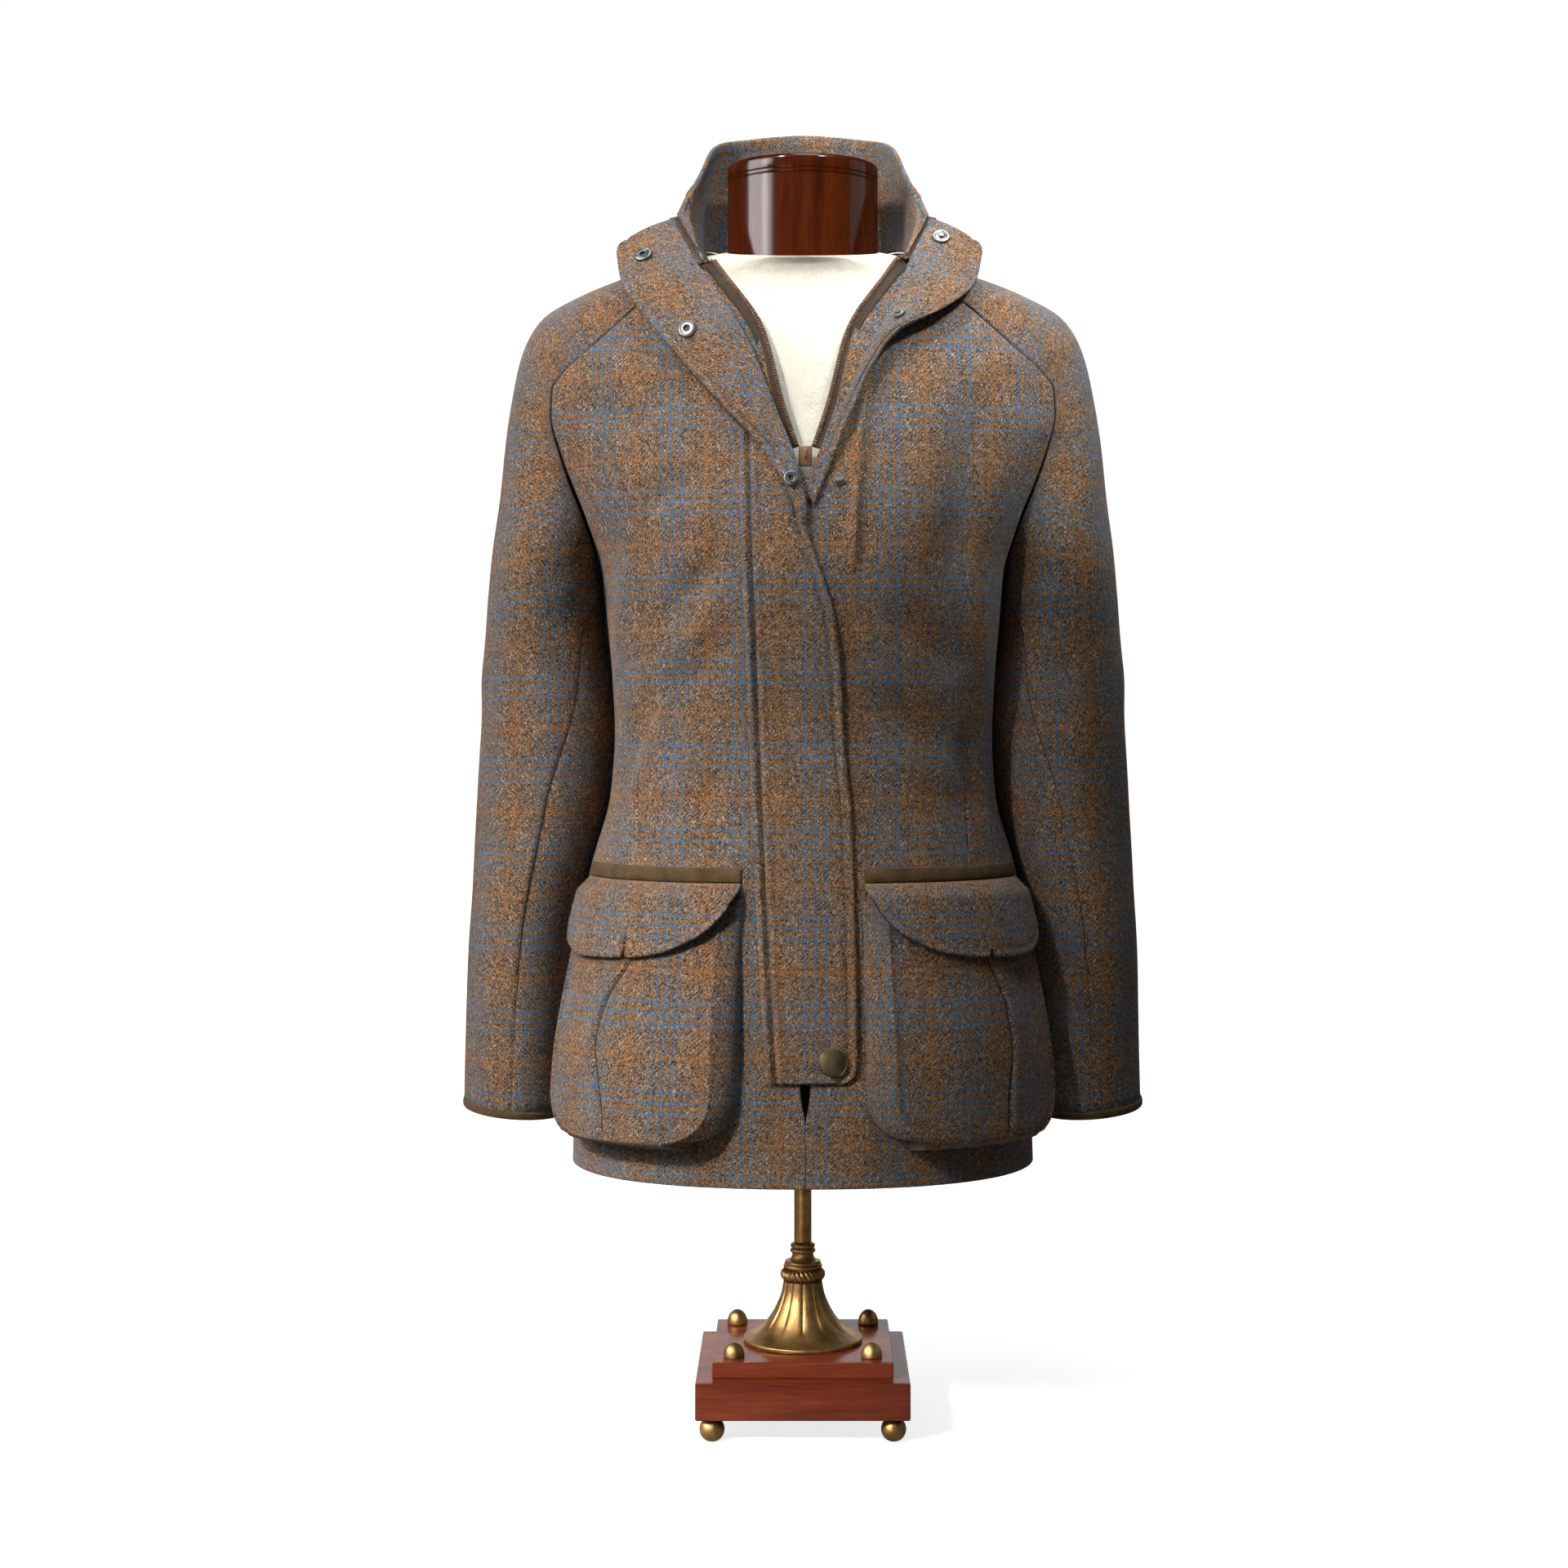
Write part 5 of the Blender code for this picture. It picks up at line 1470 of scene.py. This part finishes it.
def makeRope():
    major, minor = standSizes["ropeSteps"]
    strands, twist = standSizes["ropeTwist"]
    tube = circle(minor)
    points = []
    for t in circle(major):
        swell = standSizes["ropeThin"] + standSizes["ropeSwell"] * np.abs(np.sin(strands * tube + twist * t))
        r = standSizes["ropeRadius"] + swell * np.cos(tube)
        z = standSizes["ropeZ"] + swell * np.sin(tube)
        points.append(np.stack([r * math.cos(t), r * math.sin(t), z], axis=-1))
    faces = []
    for a in range(major):
        for b in range(minor):
            corners = ((a, b), (a + 1, b), (a + 1, b + 1), (a, b + 1))
            faces.append([(p % major) * minor + q % minor for p, q in corners])
    piece = addMesh("ropeRing", np.array(points).reshape(-1, 3), faces)
    facesOut(piece)
    joinInto(piece, lathe("ropeCore", [(0, 110.9), (13.4, 110.9), (13.4, 121.1), (0, 121.1)], 48))
    keepPiece(piece, "brass", "rope_ring")


def ballLine():
    ball, flat = standSizes["ball"], standSizes["ballFlat"]
    low = math.degrees(math.asin(1 - flat / ball))
    return [(0, 0)] + arc(0, ball - flat, ball, -low, low, 28) + [(0, 2 * (ball - flat))]


def knobLine():
    radius, height, foot = standSizes["knob"], standSizes["knobHeight"], standSizes["knobFoot"]
    dome = [(radius * math.sqrt(1 - v * v), foot + (height - foot) * v) for v in np.linspace(0, 0.985, 16)]
    return [(0, 0), (radius * 0.96, 0)] + dome + [(0, height)]


def makeBallsAndKnobs():
    ball, knob = standSizes["ballPlace"], standSizes["knobPlace"]
    for row, y in (("front", -1), ("back", 1)):
        for side, x in (("right", -1), ("left", 1)):
            corner = row.capitalize() + side.capitalize()
            piece = lathe("ballFoot" + corner, ballLine(), 48, (x * ball, y * ball, 0))
            keepPiece(piece, "brass", f"ball_foot_{row}_{side}")
            piece = lathe("knob" + corner, knobLine(), 44, (x * knob, y * knob, standSizes["knobZ"]))
            keepPiece(piece, "brass", f"knob_{row}_{side}")


def makePole():
    baluster = [(0, 121.3), (14.6, 121.3)]
    baluster += arc(14.4, 122.9, 1.6, -90, 60, 8) + arc(13.6, 126.0, 1.3, -40, 90, 7)
    baluster += [(11.4, 127.6), (9.6, 129.4), (8.7, 131.6), (8.6, 133.4)] + arc(8.6, 135.6, 1.9, -70, 70, 8)
    baluster += [(8.7, 137.8)] + arc(8.5, 139.6, 1.7, -60, 75, 8) + [(7.7, 141.6), (7.3, 142.0), (0, 142.0)]
    keepPiece(lathe("baluster", baluster, 64), "brass", "baluster")
    (low, high), radius = standSizes["poleZ"], standSizes["pole"]
    pole = [(0, low), (radius - 0.3, low), (radius, low + 0.4)]
    pole += [(radius, z) for z in np.linspace(low + 8, high - 4, 12)] + [(radius, high), (0, high)]
    keepPiece(lathe("pole", pole, 48), "poleBrass", "pole")


makeFoot()
makeRope()
makeBallsAndKnobs()
makePole()
print("stand made")

for name, rows in seamRows.items():
    stitchMesh(name + "Stitches", rows)
seamShadeMesh("seamShadeLines", seamShadeRows)
print("sewing made")


# finishes

def setInputs(tree, node, inputs):
    for key, value in inputs.items():
        if isinstance(value, bpy.types.NodeSocket):
            tree.links.new(value, node.inputs[key])
        else:
            node.inputs[key].default_value = value


def addNode(tree, kind, inputs=None, **settings):
    made = tree.nodes.new("ShaderNode" + kind)
    for key, value in settings.items():
        setattr(made, key, value)
    setInputs(tree, made, inputs or {})
    return made


def calc(tree, operation, *values):
    return addNode(tree, "Math", dict(enumerate(values)), operation=operation).outputs[0]


def calcVector(tree, operation, inputs):
    return addNode(tree, "VectorMath", inputs, operation=operation).outputs[0]


def mapped(tree, value, start, end, low, high, smooth=False):
    kind = "SMOOTHSTEP" if smooth else "LINEAR"
    inputs = {0: value, 1: start, 2: end, 3: low, 4: high}
    return addNode(tree, "MapRange", inputs, interpolation_type=kind).outputs[0]


def mixValue(tree, factor, first, second):
    return addNode(tree, "Mix", {0: factor, 2: first, 3: second}).outputs[0]


def mixColour(tree, factor, first, second, blend="MIX"):
    made = addNode(tree, "Mix", {0: factor, 6: first, 7: second}, data_type="RGBA", blend_type=blend)
    return made.outputs[2]


def greyOf(tree, value):
    return addNode(tree, "CombineColor", {0: value, 1: value, 2: value}).outputs[0]


def shaded(tree, colour, value):
    return mixColour(tree, 1.0, colour, greyOf(tree, value), "MULTIPLY")


def ramp(tree, value, stops):
    made = addNode(tree, "ValToRGB", {0: value})
    for spare in range(len(stops) - 2):
        made.color_ramp.elements.new(0.5)
    for element, (place, colour) in zip(made.color_ramp.elements, stops):
        element.position = place
        element.color = (*colour, 1)
    return made.outputs[0]


def noise(tree, place, scale, detail, rough=0.5, dimensions="3D", output=0):
    inputs = {"Vector": place, "Scale": scale, "Detail": detail, "Roughness": rough}
    return addNode(tree, "TexNoise", inputs, noise_dimensions=dimensions).outputs[output]


def chanceAt(tree, inputs, dimensions):
    cell = addNode(tree, "CombineXYZ", inputs).outputs[0]
    return addNode(tree, "TexWhiteNoise", {"Vector": cell}, noise_dimensions=dimensions)


def roundOf(tree, value, turn):
    return calc(tree, "ABSOLUTE", calc(tree, "SINE", calc(tree, "MULTIPLY", value, turn)))


def bumped(tree, height, strength, distance):
    return addNode(tree, "Bump", {"Height": height, "Strength": strength, "Distance": distance}).outputs[0]


def newMaterial(name):
    material = bpy.data.materials.new(name)
    material.use_nodes = True
    tree = material.node_tree
    return material, tree, tree.nodes["Principled BSDF"]


def newGroup(name, inputs, outputs):
    tree = bpy.data.node_groups.new(name, "ShaderNodeTree")
    for label, kind in inputs:
        tree.interface.new_socket(label, in_out="INPUT", socket_type="NodeSocket" + kind)
    for label in outputs:
        tree.interface.new_socket(label, in_out="OUTPUT", socket_type="NodeSocketFloat")
    return tree, tree.nodes.new("NodeGroupInput").outputs, tree.nodes.new("NodeGroupOutput")


def useGroup(tree, group, inputs):
    made = tree.nodes.new("ShaderNodeGroup")
    made.node_tree = group
    setInputs(tree, made, inputs)
    return made.outputs


def weavePlace(tree):
    # the cloth's own flat coordinates, in millimetres
    return calcVector(tree, "SCALE", {0: addNode(tree, "UVMap", uv_map="weave").outputs[0], "Scale": 1000.0})


tweedLook = {
    "thread": 0.92,
    "warp": {"start": -18.5, "repeat": 57.0, "pitch": 7.6},
    "weft": {"start": 642.0, "repeat": 66.0, "pitch": 8.2},
    # half the width of a blue line, the shares of it for a rust line and the faint one between, its strength
    "lineHalf": 1.5, "rustShare": 0.9, "between": (0.8, 0.45),
    "nearBlue": (18.0, 4.0), "nearRust": (12.0, 1.0), "lineStrength": (0.35, 0.95),
    # how far the check wanders and each thread wobbles: noise scale, size
    "wander": ((0.06, 3.0), (0.8, 0.95)),
    # scale, detail and roughness of each noise, then each one's share in the tone
    "noise": {"fibre": (1.9, 3.0, 0.7), "mottle": (0.05, 6.0, 0.8), "fuzz": (3.2, 3.0, 0.75)},
    "chance": (0.58, -0.12), "speck": 0.46, "fibre": 0.5, "mottle": 0.3, "fuzz": 0.7, "warpLight": 0.12,
    # painted shade between the yarns: the shares of fuzz and yarn height in it, and the range it spans
    "fuzzShade": 0.5, "yarnShade": 0.75, "shade": (0.06, 1.08),
    "oddBlue": (0.16, 0.30), "oddRust": (0.80, 0.34),
    "ground": (
        (0.0, (0.040, 0.022, 0.013)),
        (0.35, (0.152, 0.090, 0.052)),
        (0.7, (0.322, 0.206, 0.130)),
        (1.0, (0.610, 0.462, 0.338)),
    ),
    "blue": (0.064, 0.164, 0.272, 1), "rust": (0.375, 0.145, 0.030, 1),
    "blueTint": (0.90, 0.965, 1.02, 1), "rustTint": (1.06, 0.94, 0.78, 1),
}


def lineMasks(tree, place, line):
    # 1 on the three blue lines and on the rust lines, and how near each band is
    start, repeat, pitch = line["start"], line["repeat"], line["pitch"]
    half, (betweenHalf, faint) = tweedLook["lineHalf"], tweedLook["between"]
    fromRust = calc(tree, "PINGPONG", calc(tree, "SUBTRACT", place, start), repeat / 2)
    fromBlue = calc(tree, "SUBTRACT", repeat / 2, fromRust)

    def onLine(distance, at, reach):
        return calc(tree, "LESS_THAN", calc(tree, "ABSOLUTE", calc(tree, "SUBTRACT", distance, at)), reach)

    blue = calc(tree, "MAXIMUM", onLine(fromBlue, 0.0, half), onLine(fromBlue, pitch, half))
    between = calc(tree, "MULTIPLY", onLine(fromBlue, pitch / 2, half * betweenHalf), faint)
    rust = calc(tree, "MAXIMUM", onLine(fromRust, 0.0, half * tweedLook["rustShare"]), between)
    nearBlue = mapped(tree, fromBlue, *tweedLook["nearBlue"], 0.0, 1.0, smooth=True)
    nearRust = mapped(tree, fromRust, *tweedLook["nearRust"], 0.0, 1.0, smooth=True)
    return blue, rust, nearBlue, nearRust


def tweedMaterial():
    look = tweedLook
    material, tree, shader = newMaterial("tweed")
    flat = weavePlace(tree)
    place = flat
    for scale, size in look["wander"]:
        shift = noise(tree, flat, scale, 2.0, dimensions="2D", output=1)
        shift = calcVector(tree, "SUBTRACT", {0: shift, 1: (0.5, 0.5, 0.5)})
        shift = calcVector(tree, "SCALE", {0: shift, "Scale": size})
        place = calcVector(tree, "ADD", {0: place, 1: shift})
    split = addNode(tree, "SeparateXYZ", {0: place}).outputs
    across, along = (calc(tree, "DIVIDE", split[k], look["thread"]) for k in range(2))
    column, row = calc(tree, "FLOOR", across), calc(tree, "FLOOR", along)
    # two over, two under: which yarn is up, and which float of it
    step = calc(tree, "SUBTRACT", column, row)
    warpUp = calc(tree, "LESS_THAN", calc(tree, "FLOORED_MODULO", step, 4.0), 2.0)
    floatOf = calc(tree, "FLOOR", calc(tree, "DIVIDE", step, 4.0))
    yarn = mixValue(tree, warpUp, row, column)
    chances = chanceAt(tree, {0: yarn, 1: floatOf, 2: calc(tree, "MULTIPLY", warpUp, 57.0)}, "3D")
    chances = addNode(tree, "SeparateColor", {0: chances.outputs[1]}).outputs
    speck = chanceAt(tree, {0: column, 1: row}, "2D").outputs[0]
    # height of the yarn that is up, round across and along its float
    warpRun = calc(tree, "ADD", calc(tree, "SUBTRACT", column, along), 1.0)
    warpRun = calc(tree, "FLOORED_MODULO", warpRun, 4.0)
    weftRun = calc(tree, "FLOORED_MODULO", calc(tree, "SUBTRACT", across, row), 4.0)
    run = mixValue(tree, warpUp, calc(tree, "SUBTRACT", weftRun, 2.0), warpRun)
    roundSide = roundOf(tree, mixValue(tree, warpUp, along, across), math.pi)
    roundRun = roundOf(tree, run, math.pi / 2)
    height = calc(tree, "MULTIPLY", calc(tree, "POWER", roundSide, 0.7), calc(tree, "POWER", roundRun, 0.5))
    # the ground's tone: each float, each crossing, fibres, slow mottling and loose fuzz over the yarn
    fibre, mottle, fuzz = (noise(tree, flat, *sizes, "2D") for sizes in look["noise"].values())
    tone = calc(tree, "MULTIPLY_ADD", chances[0], *look["chance"])
    tone = calc(tree, "MULTIPLY_ADD", speck, look["speck"], tone)
    for part, name in ((fibre, "fibre"), (mottle, "mottle"), (fuzz, "fuzz"), (warpUp, "warpLight")):
        tone = calc(tree, "MULTIPLY_ADD", calc(tree, "SUBTRACT", part, 0.5), look[name], tone)
    ground = ramp(tree, tone, look["ground"])
    # a few odd floats of blue and rust in the ground
    oddFloats = (("blue", "LESS_THAN", *look["oddBlue"]), ("rust", "GREATER_THAN", *look["oddRust"]))
    for name, test, limit, share in oddFloats:
        odd = calc(tree, "MULTIPLY", calc(tree, test, chances[1], limit), share)
        ground = mixColour(tree, odd, ground, look[name])
    # the check's lines, and a tint round each band of them
    middles = [calc(tree, "ADD", k, 0.5) for k in (column, row)]
    warpPlace, weftPlace = (calc(tree, "MULTIPLY", k, look["thread"]) for k in middles)
    warpMasks, weftMasks = lineMasks(tree, warpPlace, look["warp"]), lineMasks(tree, weftPlace, look["weft"])
    for k, tint in ((2, "blueTint"), (3, "rustTint")):
        near = calc(tree, "MAXIMUM", warpMasks[k], weftMasks[k])
        ground = mixColour(tree, near, ground, mixColour(tree, 1.0, ground, look[tint], "MULTIPLY"))
    strength = mapped(tree, chances[2], 0.0, 1.0, *look["lineStrength"])
    colour = ground
    for k, name in enumerate(("blue", "rust")):
        line = mixValue(tree, warpUp, weftMasks[k], warpMasks[k])
        colour = mixColour(tree, calc(tree, "MULTIPLY", line, strength), colour, look[name])
    # painted shade: yarn height darkens the gaps between the yarns, and fuzz over them lightens it
    shade = calc(tree, "MULTIPLY", height, look["yarnShade"])
    shade = calc(tree, "MULTIPLY_ADD", fuzz, look["fuzzShade"], shade)
    shade = mapped(tree, shade, 0.0, 1.0, *look["shade"])
    raisedBy = calc(tree, "ADD", height, calc(tree, "MULTIPLY", fibre, 0.5))
    setInputs(tree, shader, {
        "Base Color": shaded(tree, colour, shade), "Normal": bumped(tree, raisedBy, 0.5, 0.0005),
        "Roughness": 0.92, "Specular IOR Level": 0.2,
        "Sheen Weight": 0.08, "Sheen Roughness": 0.5, "Sheen Tint": (0.78, 0.84, 0.92, 1),
    })
    return material


def plainWeaveGroup():
    # over and under threads, with the thread's width in millimetres
    inputs = (("Place", "Vector"), ("Thread", "Float"))
    tree, entry, result = newGroup("plainWeave", inputs, ("Tone", "Height"))
    split = addNode(tree, "SeparateXYZ", {0: entry[0]}).outputs
    across, along = (calc(tree, "DIVIDE", split[k], entry[1]) for k in range(2))
    column, row = calc(tree, "FLOOR", across), calc(tree, "FLOOR", along)
    warpUp = calc(tree, "FLOORED_MODULO", calc(tree, "ADD", column, row), 2.0)
    height = mixValue(tree, warpUp, roundOf(tree, along, math.pi), roundOf(tree, across, math.pi))
    speck = chanceAt(tree, {0: column, 1: row}, "2D").outputs[0]
    slow = noise(tree, entry[0], 0.08, 4.0, dimensions="2D")
    tone = calc(tree, "ADD", calc(tree, "MULTIPLY", speck, 0.4), calc(tree, "MULTIPLY", slow, 0.6))
    setInputs(tree, result, {0: tone, 1: height})
    return tree


def clothMaterial(name, thread, dark, light, sheen):
    material, tree, shader = newMaterial(name)
    tone, height = useGroup(tree, plainWeave, {0: weavePlace(tree), 1: thread})
    setInputs(tree, shader, {
        "Base Color": ramp(tree, tone, ((0.2, dark), (0.8, light))),
        "Normal": bumped(tree, height, 0.4, 0.0003),
        "Roughness": 0.85, "Specular IOR Level": 0.15, "Sheen Weight": sheen,
    })
    return material


def wearGroup():
    # a slow tarnish and fine scuffs, from the piece's own coordinates
    tree, entry, result = newGroup("wear", (("Place", "Vector"), ("Grain", "Float")), ("Tarnish", "Scuff"))
    slow = noise(tree, entry[0], entry[1], 5.0, 0.62)
    fine = noise(tree, entry[0], calc(tree, "MULTIPLY", entry[1], 9.0), 4.0)
    setInputs(tree, result, {0: mapped(tree, slow, 0.35, 0.68, 0.0, 1.0), 1: fine})
    return tree


def metalMaterial(name, bright, dark, rough, grain, coatShadeFrom=None):
    material, tree, shader = newMaterial(name)
    place = addNode(tree, "TexCoord").outputs["Object"]
    tarnish, scuff = useGroup(tree, wear, {0: place, 1: grain})
    colour = mixColour(tree, tarnish, (*bright, 1), (*dark, 1))
    if coatShadeFrom:    # painted shade: darkened where the coat covers it
        height = addNode(tree, "SeparateXYZ", {0: place}).outputs[2]
        colour = shaded(tree, colour, mapped(tree, height, coatShadeFrom, coatShadeFrom + 0.015, 1.0, 0.04))
    setInputs(tree, shader, {
        "Base Color": colour, "Roughness": mapped(tree, scuff, 0.3, 0.7, rough - 0.08, rough + 0.12),
        "Metallic": 1.0, "Normal": bumped(tree, scuff, 0.12, 0.0003),
    })
    return material


def grainGroup():
    # streaks along the first axis of the place given
    tree, entry, result = newGroup("woodGrain", (("Place", "Vector"),), ("Streak", "Pore"))
    lengthwise = addNode(tree, "Mapping", {0: entry[0], "Scale": (4.0, 60.0, 60.0)}).outputs[0]
    inputs = {"Vector": lengthwise, "Scale": 1.0, "Detail": 6.0, "Roughness": 0.62, "Distortion": 0.6}
    streak = addNode(tree, "TexNoise", inputs).outputs[0]
    fine = addNode(tree, "Mapping", {0: entry[0], "Scale": (40.0, 900.0, 900.0)}).outputs[0]
    setInputs(tree, result, {0: streak, 1: noise(tree, fine, 1.0, 2.0)})
    return tree


def woodMaterial(name, upright, dark, light, coat):
    material, tree, shader = newMaterial(name)
    place = addNode(tree, "TexCoord").outputs["Object"]
    if upright:
        place = addNode(tree, "Mapping", {0: place, "Rotation": (0, math.pi / 2, 0)}).outputs[0]
    streak, pore = useGroup(tree, woodGrain, {0: place})
    colour = ramp(tree, streak, ((0.25, dark), (0.75, light)))
    setInputs(tree, shader, {
        "Base Color": shaded(tree, colour, mapped(tree, pore, 0.35, 0.6, 0.7, 1.0)),
        "Roughness": 0.45, "Specular IOR Level": 0.0, "Coat Weight": coat, "Coat Roughness": 0.16,
    })
    return material


def plainMaterial(name, colour, rough):
    material, tree, shader = newMaterial(name)
    speck = noise(tree, addNode(tree, "TexCoord").outputs["Object"], 900.0, 2.0)
    dark = tuple(c * 0.7 for c in colour)
    colours = ramp(tree, speck, ((0.3, dark), (0.7, colour)))
    setInputs(tree, shader, {"Base Color": colours, "Roughness": rough})
    return material


plainWeave, wear, woodGrain = plainWeaveGroup(), wearGroup(), grainGroup()
finishes = {
    "tweed": tweedMaterial(),
    "binding": clothMaterial("binding", 0.7, (0.046, 0.026, 0.010), (0.116, 0.067, 0.027), 0.03),
    "zipTape": clothMaterial("zipTape", 0.6, (0.030, 0.018, 0.011), (0.075, 0.046, 0.030), 0.1),
    "linen": clothMaterial("linen", 0.8, (0.480, 0.420, 0.330), (0.680, 0.610, 0.500), 0.1),
    "brass": metalMaterial("antiqueBrass", (0.480, 0.285, 0.106), (0.200, 0.100, 0.036), 0.42, 55.0),
    # painted shade on the pole above 0.205 m, inside the coat
    "poleBrass": metalMaterial("poleBrass", (0.640, 0.335, 0.112), (0.300, 0.135, 0.042), 0.36, 90.0, 0.205),
    "capBrass": metalMaterial("capBrass", (0.190, 0.144, 0.076), (0.092, 0.068, 0.036), 0.42, 60.0),
    "gunmetal": metalMaterial("gunmetal", (0.200, 0.192, 0.186), (0.105, 0.098, 0.092), 0.33, 40.0),
    "neckWood": woodMaterial("mahoganyNeck", True, (0.017, 0.0022, 0.0004), (0.066, 0.0105, 0.0012), 0.45),
    "baseWood": woodMaterial("mahoganyBase", False, (0.105, 0.016, 0.006), (0.270, 0.052, 0.020), 0.5),
    "zipBrown": plainMaterial("zipBrown", (0.230, 0.115, 0.060), 0.35),
    "thread": plainMaterial("thread", (0.170, 0.115, 0.075), 0.8),
    # painted shade along seams, pleats and under flap edges
    "paintedSeamShade": plainMaterial("paintedSeamShade", (0.026, 0.017, 0.012), 0.9),
    # painted shade in the snap sockets' holes
    "paintedHoleShade": plainMaterial("paintedHoleShade", (0.012, 0.011, 0.010), 0.6),
}


def setFinish(piece, finish):
    piece.data.materials.clear()
    piece.data.materials.append(finishes[finish])


for piece, finish in dressed:
    setFinish(piece, finish)
    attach(piece, "root")
for name in ("plinth_lower", "plinth_upper"):
    setFinish(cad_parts[name], "baseWood")
print("finishes set")


# floor, light and camera

studio = {
    "floor": 12.0, "floorGrey": (0.3, 0.3, 0.3, 1), "floorRough": 0.7,
    "fade": (0.1, 0.8, 0.79, 1.0),      # the floor's glow from near to far: distances, then strengths
    "ambient": 0.09,
    "cool": (0.82, 0.92, 1.0),
    "coolLamps": ("above", "shoulder", "collar", "back"),
    "unreflected": ("collar", "back"),
    # place, size, power, aim, spread in degrees; the cards are seen in reflections only
    "lamps": {
        "key": ((-1.45, -1.85, 2.2), (0.4, 1.3), 2.3, (-0.148, -0.054, 0.58), 8),
        "side": ((-2.5, -1.7, 1.7), (0.9, 0.9), 30.0, (0.0, 0.0, 0.6), 180),
        "shoulder": ((0.9, -1.2, 2.1), (0.35, 0.35), 0.9, (0.2, 0.0, 0.95), 13),
        "above": ((0.1, -0.35, 2.3), (0.6, 0.6), 2.3, (0.05, 0.0, 0.7), 56),
        "collar": ((0.0, -1.9, 1.5), (0.2, 0.2), 0.055, (0.0, 0.03, 1.02), 6),
        "back": ((0.0, 2.3, 2.1), (1.6, 0.8), 26.0, (0.0, 0.0, 0.7), 180),
        "cardBehind": ((0.0, 2.2, 0.75), (3.0, 1.2), 13.0, (0.0, 0.0, 0.3), 180),
        "cardLow": ((-0.8, -1.7, 0.4), (0.6, 0.8), 5.0, (0.0, 0.0, 0.2), 180),
        "cardLeft": ((-1.95, -0.62, 1.25), (1.3, 0.8), 52.0, (0.0, 0.0, 0.95), 180),
        "cardRight": ((1.8, 0.1, 1.25), (1.1, 0.8), 2.6, (0.0, 0.0, 0.95), 180),
    },
    "camera": {"away": 2.15, "height": 0.598, "lens": 60.17, "sensor": 36.0, "shift": (-0.012, -0.0625)},
}


def makeFloor():
    bpy.ops.object.select_all(action="DESELECT")
    bpy.ops.mesh.primitive_plane_add(size=studio["floor"], location=(0, 0, 0))
    floor = bpy.context.object
    floor.name = "floor"
    material, tree, shader = newMaterial("floorWhite")
    # the camera sees a floor that fades to white, and the object gets none of that glow
    place = addNode(tree, "TexCoord").outputs["Object"]
    far = addNode(tree, "VectorMath", {0: place}, operation="LENGTH").outputs["Value"]
    seen = addNode(tree, "LightPath").outputs["Is Camera Ray"]
    glow = calc(tree, "MULTIPLY", mapped(tree, far, *studio["fade"], smooth=True), seen)
    setInputs(tree, shader, {
        "Base Color": studio["floorGrey"], "Roughness": studio["floorRough"],
        "Emission Color": greyOf(tree, glow), "Emission Strength": 1.0,
    })
    floor.data.materials.append(material)


def makeLight():
    world = bpy.data.worlds.new("studio")
    bpy.context.scene.world = world
    world.use_nodes = True
    tree = world.node_tree
    seen = addNode(tree, "LightPath").outputs["Is Camera Ray"]
    strength = mapped(tree, seen, 0.0, 1.0, studio["ambient"], 1.0)
    setInputs(tree, tree.nodes["Background"], {0: (1, 1, 1, 1), 1: strength})
    for name, (place, size, power, aim, spreadAngle) in studio["lamps"].items():
        light = bpy.data.lights.new(name, "AREA")
        light.shape = "RECTANGLE"
        light.size, light.size_y = size
        light.energy = power
        light.spread = math.radians(spreadAngle)
        if name in studio["coolLamps"]:
            light.color = studio["cool"]
        lamp = bpy.data.objects.new(name, light)
        lamp.location = place
        lamp.rotation_euler = (Vector(aim) - Vector(place)).to_track_quat("-Z", "Y").to_euler()
        lamp.visible_diffuse = not name.startswith("card")
        lamp.visible_glossy = name not in studio["unreflected"]
        bpy.context.scene.collection.objects.link(lamp)


def makeCamera():
    setting = studio["camera"]
    lens = bpy.data.cameras.new("camera")
    lens.lens = setting["lens"]
    lens.sensor_width = setting["sensor"]
    lens.shift_x, lens.shift_y = setting["shift"]
    camera = bpy.data.objects.new("camera", lens)
    camera.location = (0, depthShift * mm - setting["away"], setting["height"])
    camera.rotation_euler = (math.pi / 2, 0, 0)
    bpy.context.scene.collection.objects.link(camera)
    bpy.context.scene.camera = camera
    bpy.context.scene.view_settings.view_transform = "Standard"


makeFloor()
makeLight()
makeCamera()
print("stage set")
